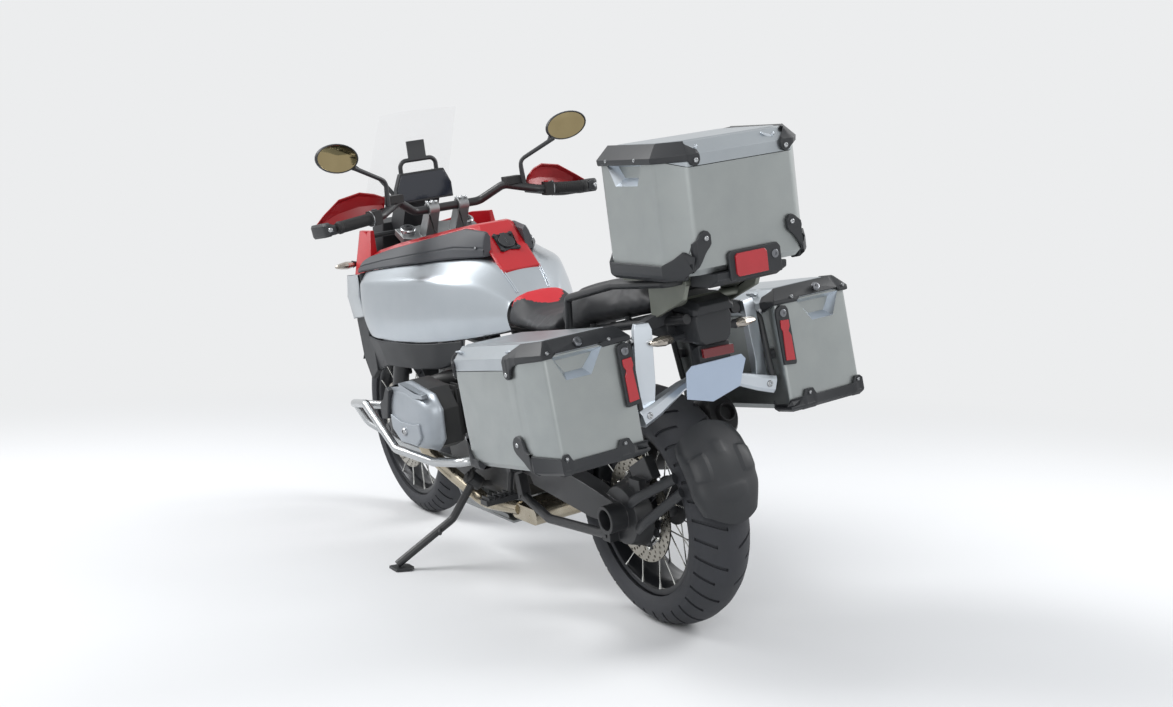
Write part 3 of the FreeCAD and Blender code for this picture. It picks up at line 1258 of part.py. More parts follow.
def side_lid(side):
    return tip_case(lid_shell(CASE_PLAN, CASE_HEIGHT, CASE_LID), side)


def side_lid_guards(side):
    guards = lid_guards_side(CASE_PLAN, CASE_HEIGHT, CASE_LID, CASE_LENGTH)
    return tip_case(guards, side)


def side_low_guards(side):
    guards = low_guards(CASE_PLAN, CASE_LENGTH, 48, CASE_DEPTH - 32)
    return tip_case(guards, side)


def lock_panel(side):
    """Black lock and reflector panel on the rear wall's inner edge."""
    panel = block(-7, -GUARD_GAP, 4, 34, 70, 226)
    return tip_case(panel, side)


def place_top(shape):
    placed = shape.copy()
    placed.translate(Vector(TOP_REAR, 0, TOP_FLOOR))
    return placed


def top_box():
    box = box_shell(TOP_PLAN, TOP_HEIGHT)
    pocket, lining = handle_pocket(0, TOP_HEIGHT)
    for part_angle, x, y in ((-90, TOP_LENGTH / 2, TOP_WIDTH / 2), (90, TOP_LENGTH / 2, -TOP_WIDTH / 2)):
        turned = []
        for piece in (pocket, lining):
            one = piece.copy()
            one.rotate(Vector(0, 0, 0), Vector(0, 0, 1), part_angle)
            one.translate(Vector(x, y, 0))
            turned.append(one)
        box = fuse([box, turned[1]]).cut(turned[0])
    return place_top(box)


def top_lid():
    return place_top(lid_shell(TOP_PLAN, TOP_HEIGHT, TOP_LID))


def top_lid_guards():
    """Guards along the lid's left and right edges, reaching round its corners."""
    top = TOP_HEIGHT + TOP_LID * LID_EDGE
    ring = band(TOP_PLAN, TOP_HEIGHT + LID_SEAM + 1, top + 9)
    cap = prism_z(inset(TOP_PLAN, GUARD_GAP + GUARD_THICKNESS), top, top + 9)
    keep_off = lid_keep_off(TOP_PLAN, TOP_HEIGHT, TOP_LID)
    half = TOP_WIDTH / 2
    edge = [(half + 20, TOP_HEIGHT + 8), (half + 20, top + 20), (half - 62, top + 20),
            (half - 86, TOP_HEIGHT + 2), (half - 60, TOP_HEIGHT + 2)]
    left = prism_x(edge, -20, TOP_LENGTH + 20)
    region = fuse([left, mirror(left)])
    return place_top(fuse([ring, cap]).cut(keep_off).common(region))


def top_low_guards():
    """Corner guards round the foot of the top case, and the lock unit under its rear."""
    ring = band(TOP_PLAN, -7, 92)
    sole = prism_z(inset(TOP_PLAN, GUARD_GAP + GUARD_THICKNESS), -7, -GUARD_GAP)
    half = TOP_WIDTH / 2
    edge = [(half + 20, -8), (half + 20, 22), (half - 40, 30), (half - 62, 92), (half - 84, 92),
            (half - 82, 30), (half - 70, -8)]
    left = prism_x(edge, -20, TOP_LENGTH + 20)
    region = fuse([left, mirror(left)])
    return place_top(fuse([ring, sole]).common(region))


def lock_unit():
    """Black unit under the top case's rear edge, with its reflector face."""
    top = TOP_FLOOR - SEAT_GAP
    return prism_y([(-508, top), (-506, 950), (-470, 930), (-400, 930), (-400, top)], -96, 96)


def case_guards():
    return Part.makeCompound([side_low_guards(1), side_low_guards(-1), lock_panel(1), lock_panel(-1)])


def top_case_guards():
    return Part.makeCompound([top_low_guards(), lock_unit()])


# Assembly

def nodes():
    return {
        "main_frame": main_frame(),
        "rear_subframe": rear_subframe(),
        "engine_block": engine_block(),
        "cylinders": cylinders(),
        "head_covers": head_covers(),
        "exhaust_headers": exhaust_headers(),
        "silencer": silencer(),
        "skid_plate": skid_plate(),
        "crash_bars": crash_bars(),
        "telelever_arm": telelever_arm(),
        "spring_struts": spring_struts(),
        "swing_arm": swing_arm(),
        "rear_hugger": rear_hugger(),
        "footrests": footrests(),
        "fuel_tank": fuel_tank(),
        "tank_pads": tank_pads(),
        "tank_cover": tank_cover(),
        "filler_plate": filler_plate(),
        "side_trim": side_trim(),
        "radiator_cowls": radiator_cowls(),
        "radiators": radiators(),
        "front_fairing": front_fairing(),
        "headlight": headlight(),
        "windscreen": windscreen(),
        "cockpit_frame": cockpit_frame(),
        "rider_seat": rider_seat(),
        "pillion_seat": pillion_seat(),
        "grab_rails": grab_rails(),
        "luggage_rack": luggage_rack(),
        "tail_unit": tail_unit(),
        "number_plate": number_plate(),
        "indicators": indicators(),
        "case_carriers": case_carriers(),
        "side_box_left": side_box(1),
        "side_box_right": side_box(-1),
        "top_box": top_box(),
        "case_guards": case_guards(),
        "top_case_guards": top_case_guards(),
        "side_lid_left": side_lid(1),
        "side_lid_right": side_lid(-1),
        "top_lid": top_lid(),
        "side_lid_guards_left": side_lid_guards(1),
        "side_lid_guards_right": side_lid_guards(-1),
        "top_lid_guards": top_lid_guards(),
        "fork": fork(),
        "top_yoke": top_yoke(),
        "handlebar": handlebar(),
        "bar_controls_left": bar_controls(),
        "bar_controls_right": mirror(bar_controls()),
        "handguards": handguards(),
        "mirrors": mirrors(),
        "front_mudguard": front_mudguard(),
        "front_calipers": front_calipers(),
        "front_tyre": front_tyre(),
        "front_wheel": front_wheel(),
        "rear_tyre": rear_tyre(),
        "rear_wheel": rear_wheel(),
        "side_stand": side_stand(),
        "fuel_cap": fuel_cap(),
    }


def case_point(x, y, z):
    """A point of the left side case's own frame, in the upright bike's frame."""
    turn = FreeCAD.Rotation(Y_AXIS, math.degrees(CASE_PITCH))
    return turn.multVec(Vector(x, y, z)) + CASE_REAR


LID_HINGE_OUT = GUARD_GAP + GUARD_THICKNESS + 2


def joints():
    """Name, a point on the axis and the axis of every moving joint, on the upright bike."""
    hinge = case_point(CASE_LENGTH + LID_HINGE_OUT, CASE_DEPTH / 2, CASE_HEIGHT)
    cap_turn = FreeCAD.Rotation(Y_AXIS, -math.degrees(FILLER_SLOPE))
    top_hinge = Vector(TOP_REAR + TOP_LENGTH / 2, -TOP_WIDTH / 2 - LID_HINGE_OUT, TOP_FLOOR + TOP_HEIGHT)
    return [
        ("steering", steer_point(0, 0, YOKE_HEIGHT), steer_point(0, 0, 1) - steer_point(0, 0, 0)),
        ("front_wheel_spin", FRONT_AXLE, Y_AXIS),
        ("rear_wheel_spin", REAR_AXLE, Y_AXIS),
        ("side_stand_fold", STAND_PIVOT, STAND_AXIS),
        ("side_lid_left_hinge", hinge, Y_AXIS),
        ("side_lid_right_hinge", Vector(hinge.x, -hinge.y, hinge.z), Y_AXIS),
        ("top_lid_hinge", top_hinge, Vector(1, 0, 0)),
        ("fuel_cap_hinge", cap_turn.multVec(CAP_HINGE_LOCAL) + FILLER_CENTRE, Y_AXIS),
    ]


def leaned(shape):
    turned = shape.copy()
    turned.rotate(Vector(0, 0, 0), Vector(1, 0, 0), -math.degrees(LEAN))
    return turned


def main():
    os.makedirs("parts", exist_ok=True)
    shapes = {name: leaned(shape) for name, shape in nodes().items()}
    low = [1e9, 1e9, 1e9]
    high = [-1e9, -1e9, -1e9]
    for shape in shapes.values():
        for point in shape.tessellate(1.0)[0]:
            low = [min(a, b) for a, b in zip(low, point)]
            high = [max(a, b) for a, b in zip(high, point)]
    origin = Vector((low[0] + high[0]) / 2, (low[1] + high[1]) / 2, low[2])
    for name, shape in shapes.items():
        shape.translate(origin * -1)
        shape.exportStep(os.path.join("parts", name + ".step"))
        print(name, len(shape.Solids), "solids, valid", shape.isValid(), "volume", round(shape.Volume / 1e3))
    print("origin in the leaned frame, mm:", [round(value, 3) for value in origin])
    lean = FreeCAD.Rotation(Vector(1, 0, 0), -math.degrees(LEAN))
    for name, point, axis in joints():
        place = (lean.multVec(point) - origin) / 1000
        turned = lean.multVec(axis)
        print("joint", name, [round(value, 5) for value in place], [round(value, 6) for value in turned])


if __name__ == "__main__":
    main()
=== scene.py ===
import bmesh
import bpy
import json
import math
from mathutils import Matrix, Vector

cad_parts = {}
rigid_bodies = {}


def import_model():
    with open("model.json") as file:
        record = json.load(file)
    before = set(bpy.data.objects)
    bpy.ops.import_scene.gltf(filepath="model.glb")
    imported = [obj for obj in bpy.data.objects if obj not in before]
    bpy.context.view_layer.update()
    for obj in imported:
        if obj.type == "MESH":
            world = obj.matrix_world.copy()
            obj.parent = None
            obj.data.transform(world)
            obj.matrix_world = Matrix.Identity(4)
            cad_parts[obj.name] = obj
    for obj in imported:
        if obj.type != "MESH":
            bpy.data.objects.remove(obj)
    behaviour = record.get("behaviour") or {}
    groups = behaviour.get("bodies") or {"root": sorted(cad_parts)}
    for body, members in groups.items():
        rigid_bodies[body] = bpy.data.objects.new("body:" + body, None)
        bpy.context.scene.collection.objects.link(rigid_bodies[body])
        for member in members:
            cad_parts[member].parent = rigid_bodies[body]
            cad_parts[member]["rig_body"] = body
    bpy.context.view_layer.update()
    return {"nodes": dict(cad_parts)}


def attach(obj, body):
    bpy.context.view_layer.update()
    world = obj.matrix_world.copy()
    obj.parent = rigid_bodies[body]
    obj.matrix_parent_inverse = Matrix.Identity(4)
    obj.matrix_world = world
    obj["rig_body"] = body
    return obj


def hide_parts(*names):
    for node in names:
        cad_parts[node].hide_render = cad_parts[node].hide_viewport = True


# Looks of an adventure motorcycle with three metal cases, leaning on its side stand.
# Pieces are drawn in millimetres on the upright bike, X forward and Y to the rider's left,
# and UPRIGHT then leans them over and moves them to where the frame stands.

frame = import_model()

MM = 0.001
FULL = 2 * math.pi
LEAN = math.radians(9.2)
UPRIGHT = (Matrix.Translation((-0.672299, -0.138629, 0.0))
           @ Matrix.Rotation(-LEAN, 4, "X") @ Matrix.Scale(MM, 4))
FLIP = Matrix.Scale(-1, 4, (0, 1, 0))
SURROUND = "#ECEDEE"
# Metres from the middle at which the floor starts and ends to fade into the surround
FADE_START, FADE_END = 1.6, 4.6
LENS_MM, SENSOR_MM = 44.39, 36
CAMERA_PLACE = (-3.75779, 1.95216, 1.09553)
CAMERA_TURN = (83.94029, -0.59703, -120.36054)
# Lamp: place, what it points at, width, height, watts
SOFTBOXES = {
    "key": ((2.4, 3.6, 4.6), (0, 0, 0.6), 3.0, 3.0, 330),
    "fill": ((-4.6, 2.6, 2.6), (0, 0, 0.7), 3.0, 2.2, 90),
    "rim": ((-1.5, -4.2, 3.4), (0, 0, 0.8), 3.0, 2.0, 160),
}


# Camera, lamps and floor

def link(name, data):
    """An object in the scene from its data."""
    made = bpy.data.objects.new(name, data)
    bpy.context.scene.collection.objects.link(made)
    return made


def link_mesh(name, bm):
    """An object in the scene from a bmesh, which is used up."""
    mesh = bpy.data.meshes.new(name)
    bm.to_mesh(mesh)
    bm.free()
    return link(name, mesh)


def place_camera():
    lens = bpy.data.cameras.new("camera")
    lens.sensor_fit = "HORIZONTAL"
    lens.sensor_width = SENSOR_MM
    lens.lens = LENS_MM
    camera = link("camera", lens)
    camera.location = CAMERA_PLACE
    camera.rotation_euler = [math.radians(turn) for turn in CAMERA_TURN]
    bpy.context.scene.camera = camera


def softbox(name, place, aim_point, width, height, watts):
    lamp = bpy.data.lights.new(name, "AREA")
    lamp.shape = "RECTANGLE"
    lamp.size, lamp.size_y = width, height
    lamp.energy = watts
    box = link(name, lamp)
    box.location = place
    box.rotation_euler = (Vector(aim_point) - Vector(place)).to_track_quat("-Z", "Y").to_euler()


# Materials

def paint(code):
    """An sRGB hex colour as linear numbers."""
    channels = [int(code[i:i + 2], 16) / 255 for i in (1, 3, 5)]
    linear = [c / 12.92 if c <= 0.04045 else ((c + 0.055) / 1.055) ** 2.4 for c in channels]
    return (*linear, 1.0)


def add_node(tree, kind, links=(), **settings):
    """A shader node: its settings are attributes or input names, its links run from other sockets."""
    made = tree.nodes.new(kind)
    for name, value in settings.items():
        if hasattr(made, name):
            setattr(made, name, value)
        else:
            made.inputs[name.replace("_", " ")].default_value = value
    for socket, source in dict(links).items():
        tree.links.new(source, made.inputs[socket])
    return made


def start_material(name):
    """A new material with its shader, and the position on the piece in metres."""
    material = bpy.data.materials.new(name)
    material.use_nodes = True
    tree = material.node_tree
    tree.nodes.clear()
    output = add_node(tree, "ShaderNodeOutputMaterial")
    shader = add_node(tree, "ShaderNodeBsdfPrincipled")
    tree.links.new(shader.outputs[0], output.inputs["Surface"])
    place = add_node(tree, "ShaderNodeTexCoord").outputs["Object"]
    return material, tree, shader, place


def speckle(tree, place, size_mm, detail=2.0):
    """Noise whose grains are size_mm across."""
    return add_node(tree, "ShaderNodeTexNoise", {"Vector": place}, Scale=1000 / size_mm, Detail=detail)


def surface(name, colour, worn, rough, spread, metal, grain_mm, depth_mm, coat=0, cloud_mm=60):
    """A finish with fine grain in its bump and broad clouds in its colour and gloss."""
    material, tree, shader, place = start_material(name)
    clouds = speckle(tree, place, cloud_mm, 4.0)
    shade = add_node(tree, "ShaderNodeMix", {"Factor": clouds.outputs["Fac"]}, data_type="RGBA")
    shade.inputs["A"].default_value = paint(colour)
    shade.inputs["B"].default_value = paint(worn)
    tree.links.new(shade.outputs["Result"], shader.inputs["Base Color"])
    gloss = add_node(tree, "ShaderNodeMapRange", {"Value": clouds.outputs["Fac"]},
        To_Min=max(rough - spread, 0.03), To_Max=min(rough + spread, 1.0))
    tree.links.new(gloss.outputs[0], shader.inputs["Roughness"])
    grain = speckle(tree, place, grain_mm, 3.0)
    bump = add_node(tree, "ShaderNodeBump", {"Height": grain.outputs["Fac"]}, Distance=depth_mm * MM,
        Strength=0.6)
    tree.links.new(bump.outputs[0], shader.inputs["Normal"])
    shader.inputs["Metallic"].default_value = metal
    shader.inputs["Coat Weight"].default_value = coat
    shader.inputs["Coat Roughness"].default_value = 0.12
    return material


# Finish: record slot, two shades, roughness and its spread, metal, grain and its depth in mm, then coat and
# the size of the clouds in mm
FINISH_TABLE = {
    # Bead-blasted, clear anodised aluminium: satin and even, with faint cloudy handling marks
    "case_aluminium": ("brushed_alu", "#A3A7A6", "#969B9B", 0.4, 0.05, 0.92, 1.6, 0.03),
    # Brushed tank aluminium under clear lacquer: bright, cool and smoother than the cases
    "tank_aluminium": ("brushed_alu", "#B9BFC4", "#AFB6BC", 0.3, 0.05, 0.95, 2.2, 0.02, 0.3),
    # Pressed aluminium liner and pale castings: pale metal, painted lighter than the cases to stand for the
    # light they catch, a painted highlight
    "bright_aluminium": ("brushed_alu", "#D0D6DC", "#C2C9D0", 0.3, 0.06, 0.9, 1.5, 0.03),
    # Aluminium casting, shot-blasted: grainy grey
    "blasted_casting": ("cast_silver", "#9A9C9C", "#85888A", 0.48, 0.08, 0.85, 1.4, 0.1),
    # Valve cover paint over a casting: satin grey
    "cover_paint": ("cast_silver", "#A3A9AF", "#949AA0", 0.42, 0.06, 0.6, 1.6, 0.06),
    # Polished stainless tube with long draw marks
    "stainless": ("stainless", "#C6C8C9", "#AEB1B3", 0.3, 0.07, 1.0, 2.5, 0.03),
    # Stainless header, browned by heat
    "heated_stainless": ("stainless", "#C9C2B2", "#9C8F78", 0.26, 0.08, 1.0, 2.5, 0.04),
    # Satin black powder coat on tubes and brackets
    "powder_coat": ("frame_paint", "#1E1F21", "#28292B", 0.42, 0.08, 0, 1.4, 0.06),
    # Dark crankcase paint over a casting, dulled by road dust
    "engine_paint": ("engine_paint", "#2A2B2D", "#3B3B3A", 0.55, 0.1, 0, 1.8, 0.14),
    # Matt black heat-proof coat of the silencer
    "silencer_coat": ("silencer_coat", "#1B1B1C", "#262627", 0.5, 0.12, 0, 1.2, 0.05),
    # Grained black polyamide moulding, as on the corner guards
    "black_moulding": ("black_plastic", "#1D1F22", "#26282B", 0.5, 0.08, 0, 1.1, 0.1),
    # Dark grey soft-touch pad with a fine grain
    "pad_rubber": ("pad_rubber", "#3A3C40", "#44464A", 0.58, 0.06, 0, 1.3, 0.1),
    # Satin red moulding, coloured through
    "red_moulding": ("red_plastic", "#B8121D", "#A90F1A", 0.3, 0.05, 0, 1.8, 0.03, 0.25),
    # Deep red satin of the hand shields
    "red_shield": ("red_plastic", "#A31019", "#920D15", 0.38, 0.06, 0, 1.4, 0.06),
    # Silver-grey painted moulding of the cowls
    "pale_moulding": ("pale_plastic", "#B4B9BC", "#ACB1B5", 0.34, 0.05, 0.5, 2.0, 0.03, 0.3),
    # Vinyl seat cover, leather-grained and matt
    "seat_vinyl": ("seat_cover", "#1B1C1F", "#232427", 0.6, 0.06, 0, 1.6, 0.16),
    # Red vinyl of the sewn-in panel, finely grained
    "seat_red": ("seat_cover", "#C41A28", "#B11522", 0.52, 0.06, 0, 1.6, 0.12),
    # Grey-green coated casting of the rack sides
    "green_casting": ("cast_green", "#7F8279", "#73766E", 0.48, 0.12, 0.5, 1.4, 0.08),
    # Blank light blue-grey plate, painted sheet
    "plate_paint": ("plate_blank", "#A9B7C9", "#A1AFC2", 0.42, 0.04, 0, 2.0, 0.02),
    # Ribbed grip rubber, dull black
    "grip_rubber": ("grip_rubber", "#161617", "#1F1F20", 0.7, 0.05, 0, 1.2, 0.08),
    # Tyre rubber with road dust in its surface
    "tyre_rubber": ("tyre", "#26282B", "#34353A", 0.72, 0.12, 0, 1.6, 0.12, 0, 45),
    # Black anodised rim, a little glossy
    "rim_black": ("rim_black", "#17181B", "#202226", 0.3, 0.06, 0.4, 2.0, 0.03),
    # Polished spoke wire and nipples
    "spoke_steel": ("frame_paint", "#D6D6D2", "#C6C6C2", 0.22, 0.05, 1.0, 1.5, 0.02),
    # Satin black hub casting
    "hub_black": ("rim_black", "#232427", "#2E2F32", 0.45, 0.08, 0, 1.5, 0.08),
    # Zinc-plated button screws
    "screw_steel": ("cast_silver", "#B9BBBD", "#A5A7A9", 0.3, 0.05, 1.0, 1.2, 0.03),
    # Darker chromed lock barrels
    "lock_steel": ("stainless", "#84868A", "#707276", 0.28, 0.05, 1.0, 1.2, 0.04),
    # The lid's pressed sheet, smoother than the walls; its lighter, cooler colour is painted light, the
    # sunlit top of the same aluminium as the walls
    "case_lid": ("brushed_alu", "#AEB4B8", "#A2A8AD", 0.33, 0.05, 0.92, 1.6, 0.025),
    # Ground brake-disc steel with a fine sheen
    "disc_steel": ("rim_black", "#A8A49A", "#96928A", 0.3, 0.12, 1.0, 1.4, 0.05),
    # Gloss black cover of the display
    "gloss_black": ("black_plastic", "#1A1F2A", "#1D222D", 0.16, 0.03, 0, 3.0, 0.01, 0.5),
    # Dark red reflex reflector, prismatic below its skin
    "red_reflector": ("red_plastic", "#B3202B", "#9C1822", 0.22, 0.04, 0, 2.5, 0.25, 0.6),
    # Faceted clear turn-signal lens with bright reflectors close behind it
    "signal_lens": ("clear_lens", "#CFC7BC", "#7E756B", 0.14, 0.05, 0.85, 4.5, 0.9, 0.9, 12),
    # Gold-tinted mirror glass
    "mirror_gold": ("clear_lens", "#A39470", "#8F8160", 0.06, 0.02, 1.0, 30, 0.01),
    # Dark red reflector above the plate
    "dark_reflector": ("red_plastic", "#6A1019", "#570C13", 0.2, 0.04, 0, 2.5, 0.2, 0.6),
}
FINISHES = {name: surface(name, *row[1:]) for name, row in FINISH_TABLE.items()}


def clear_sheet(name):
    """Thin optical sheet: seen only by the faint gloss on it."""
    material, tree, shader, place = start_material(name)
    shader.inputs["Base Color"].default_value = paint("#DDE3E8")
    shader.inputs["Roughness"].default_value = 0.04
    clouds = speckle(tree, place, 160, 2.0)
    share = add_node(tree, "ShaderNodeMapRange", {"Value": clouds.outputs["Fac"]}, To_Min=0.025,
        To_Max=0.05)
    tree.links.new(share.outputs[0], shader.inputs["Alpha"])
    return material


FINISHES["clear_screen"] = clear_sheet("clear_screen")


# Shape tools

def add_modifier(piece, name, kind, **settings):
    made = piece.modifiers.new(name, kind)
    for key, value in settings.items():
        setattr(made, key, value)
    return made


def finish_mesh(name, bm, node, finish, sharp=35, bevel=0.0, segments=2, place=Matrix(),
        stance=UPRIGHT, levels=0, thick=0.0, double=False, whole=False):
    """Turn a bmesh into a finished piece on a node's body; a whole one stands for that node."""
    if double:
        bmesh.ops.mirror(bm, geom=bm.verts[:] + bm.edges[:] + bm.faces[:], axis="Y", merge_dist=-1)
    bmesh.ops.remove_doubles(bm, verts=bm.verts, dist=0.01)
    bmesh.ops.transform(bm, matrix=stance @ place, verts=bm.verts)
    bmesh.ops.recalc_face_normals(bm, faces=bm.faces)
    limit = math.radians(sharp)
    for face in bm.faces:
        face.smooth = True
    for edge in bm.edges:
        edge.smooth = len(edge.link_faces) == 2 and edge.calc_face_angle(0) < limit
    piece = link_mesh(name, bm)
    finishes = [finish] if isinstance(finish, str) else finish
    for one in finishes:
        piece.data.materials.append(FINISHES[one])
    if levels:
        add_modifier(piece, "rounded", "SUBSURF", levels=levels, render_levels=levels)
    if thick:
        add_modifier(piece, "wall", "SOLIDIFY", thickness=thick * MM, offset=-1)
    if bevel:
        add_modifier(piece, "edges", "BEVEL", width=bevel * MM, segments=segments, limit_method="ANGLE",
            angle_limit=math.radians(30), use_clamp_overlap=False, harden_normals=True)
    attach(piece, frame["nodes"][node]["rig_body"])
    if whole:
        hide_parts(node)


def loft(rows, closed=True):
    """A skin over rows of points: each row's edges are extruded onto the next row. A closed one has rings
    for rows and a face at either end."""
    bm = bmesh.new()
    line = [bm.verts.new(point) for point in rows[0]]
    first = line
    ends = line[1:] + line[:1] if closed else line[1:]
    edges = [bm.edges.new(pair) for pair in zip(line, ends)]
    for row in rows[1:]:
        grown = bmesh.ops.extrude_edge_only(bm, edges=edges)["geom"]
        fresh = {vert for vert in grown if isinstance(vert, bmesh.types.BMVert)}
        edges = [edge for edge in grown if isinstance(edge, bmesh.types.BMEdge)
            and set(edge.verts) <= fresh]
        line = [next(edge.other_vert(vert) for edge in vert.link_edges if edge.other_vert(vert) in fresh)
            for vert in line]
        for vert, point in zip(line, row):
            vert.co = point
    if closed:
        for end in (first, line):
            bmesh.ops.contextual_create(bm, geom=end)
    return bm


def join(parts):
    """Several shapes as one."""
    whole = bmesh.new()
    for part in parts:
        held = bpy.data.meshes.new("held")
        part.to_mesh(held)
        part.free()
        whole.from_mesh(held)
        bpy.data.meshes.remove(held)
    return whole


def tint(bm, index):
    for face in bm.faces:
        face.material_index = index
    return bm


def moved(bm, matrix):
    bmesh.ops.transform(bm, matrix=matrix, verts=bm.verts)
    return bm


def aim(point, direction):
    """A place at a point, with its Z along a direction."""
    return Matrix.Translation(point) @ Vector(direction).to_track_quat("Z", "Y").to_matrix().to_4x4()


def polar(radius, turn):
    return math.cos(turn) * radius, math.sin(turn) * radius


def slab(outline, low, high, side="Z"):
    """A flat outline made thick between two levels, along Z or across X or Y."""
    bm = loft([[(a, b, level) for a, b in outline] for level in (low, high)])
    if side == "X":
        moved(bm, Matrix(((0, 0, 1, 0), (1, 0, 0, 0), (0, 1, 0, 0), (0, 0, 0, 1))))
    if side == "Y":
        moved(bm, Matrix(((1, 0, 0, 0), (0, 0, 1, 0), (0, 1, 0, 0), (0, 0, 0, 1))))
    return bm


def brick(x0, x1, y0, y1, z0, z1):
    return slab([(x0, y0), (x1, y0), (x1, y1), (x0, y1)], z0, z1)


def turned(profile, steps=24, place=None):
    """A shape turned from (radius, height) points round Z."""
    bm = bmesh.new()
    chain = [bm.verts.new((radius, 0, height)) for radius, height in profile]
    edges = [bm.edges.new(pair) for pair in zip(chain, chain[1:])]
    bmesh.ops.spin(bm, geom=chain + edges, cent=(0, 0, 0), axis=(0, 0, 1), angle=FULL, steps=steps,
        use_merge=True)
    bmesh.ops.remove_doubles(bm, verts=bm.verts, dist=0.01)
    return moved(bm, place) if place else bm


def rounded_path(points, bend):
    """A rigid bar's centre line with its corners turned on arcs."""
    path = [Vector(points[0])]
    for before, corner, after in zip(points, points[1:], points[2:]):
        corner = Vector(corner)
        back, ahead = Vector(before) - corner, Vector(after) - corner
        reach = min(bend, back.length * 0.48, ahead.length * 0.48)
        start, end = corner + back.normalized() * reach, corner + ahead.normalized() * reach
        for share in (0.0, 0.25, 0.5, 0.75, 1.0):
            path.append(start.lerp(corner, share).lerp(corner.lerp(end, share), share))
    return path + [Vector(points[-1])]


def bar(points, radius, bend=0, sides=12, shape=None):
    """A bar along points: round, or with a flat outline of (across, up) points."""
    path = rounded_path(points, bend) if bend else [Vector(point) for point in points]
    heading = (path[1] - path[0]).normalized()
    across = heading.orthogonal().normalized()
    if shape:
        across = heading.cross(Vector((0, 0, 1))).normalized()
    outline = shape or [polar(1, FULL * step / sides) for step in range(sides)]
    rows = []
    for index, point in enumerate(path):
        before, after = path[max(index - 1, 0)], path[min(index + 1, len(path) - 1)]
        turn = heading.rotation_difference(after - before)
        across = turn @ across
        heading = (after - before).normalized()
        up = across.cross(heading)
        size = radius[index] if isinstance(radius, (list, tuple)) else radius
        rows.append([point + (across * a + up * b) * size for a, b in outline])
    return loft(rows)


def screw(point, direction, size=5.0):
    """A button-head screw with its socket."""
    profile = [(0, 0.1), (0.42, 0.1), (0.46, 0.5), (0.78, 0.48), (0.98, 0.2), (1.0, -0.5), (0, -0.5)]
    return turned([(radius * size, height * size) for radius, height in profile], 14,
        aim(point, direction))


def crease(bm, pick, amount):
    """Hold the edges that pick chooses firm under subdivision."""
    layer = bm.edges.layers.float.get("crease_edge") or bm.edges.layers.float.new("crease_edge")
    for edge in bm.edges:
        if pick(edge):
            edge[layer] = amount


def soften(node, finish, bevel):
    """A copy of a hard node with merged faces and rounded edges, which stands for it."""
    bm = bmesh.new()
    bm.from_mesh(frame["nodes"][node].data)
    bmesh.ops.remove_doubles(bm, verts=bm.verts, dist=0.02 * MM)
    bmesh.ops.dissolve_limit(bm, angle_limit=math.radians(1.5), verts=bm.verts, edges=bm.edges)
    bmesh.ops.scale(bm, vec=(1 / MM,) * 3, verts=bm.verts)
    finish_mesh(node + "_made", bm, node, finish, sharp=32, bevel=bevel, stance=Matrix.Scale(MM, 4),
        whole=True)


# node: finish, rounded edge in mm
SOFTENED = {
    "filler_plate": ("black_moulding", 1.0),
    "fuel_cap": ("black_moulding", 1.5),
    "side_trim": ("black_moulding", 3.0),
    "radiator_cowls": ("pale_moulding", 4.0),
    "front_fairing": ("red_moulding", 2.0),
    "headlight": ("black_moulding", 3.0),
    "luggage_rack": ("green_casting", 2.0),
    "engine_block": ("engine_paint", 3.0),
    "cylinders": ("engine_paint", 1.2),
    "skid_plate": ("blasted_casting", 1.5),
    "swing_arm": ("powder_coat", 2.0),
    "footrests": ("powder_coat", 1.0),
    "cockpit_frame": ("black_moulding", 1.5),
    "top_yoke": ("blasted_casting", 2.0),
}

# Finish: the nodes whose own shape is right
REFINISHED = {
    "powder_coat": ("main_frame", "rear_subframe", "spring_struts", "radiators", "grab_rails", "fork",
        "handlebar", "front_calipers", "side_stand"),
    "heated_stainless": ("exhaust_headers",),
    "stainless": ("crash_bars",),
    "blasted_casting": ("telelever_arm",),
    "clear_screen": ("windscreen",),
    "black_moulding": ("front_mudguard",),
}


# Tank, from the seat forward: x, then half width and height of its middle, ridge, crease, knee line,
# foot and tuck
TANK_ROWS = [
    (538, (0, 848), (46, 840), (82, 830), (104, 796), (92, 750), (76, 746)),
    (546, (0, 858), (50, 851), (88, 841), (112, 798), (97, 748), (80, 744)),
    (604, (0, 921), (62, 916), (124, 872), (156, 800), (142, 738), (120, 734)),
    (668, (0, 956), (76, 952), (172, 896), (207, 796), (188, 730), (160, 726)),
    (770, (0, 956), (142, 952), (218, 908), (252, 790), (234, 722), (200, 718)),
    (880, (0, 950), (200, 946), (252, 904), (278, 784), (264, 718), (230, 714)),
    (1060, (160, 934), (246, 930), (282, 894), (297, 782), (286, 716), (250, 712)),
    (1148, (160, 924), (262, 920), (287, 887), (296, 782), (277, 718), (240, 714)),
    (1170, (168, 916), (256, 912), (279, 880), (286, 782), (268, 722), (236, 718)),
    (1176, (170, 900), (240, 898), (262, 870), (268, 778), (254, 732), (236, 724)),
    (1160, (172, 886), (222, 884), (244, 862), (250, 776), (240, 740), (226, 734)),
]
TANK_RIDGE, TANK_CREASE, TANK_FOOT = 2, 3, 5
TANK_ENDS = (538, 1170)


def tank_line(column):
    return {(row[0], row[column][0], row[column][1]) for row in TANK_ROWS}


def lies_on(edge, line):
    return all(tuple(round(c, 3) for c in vert.co) in line for vert in edge.verts)


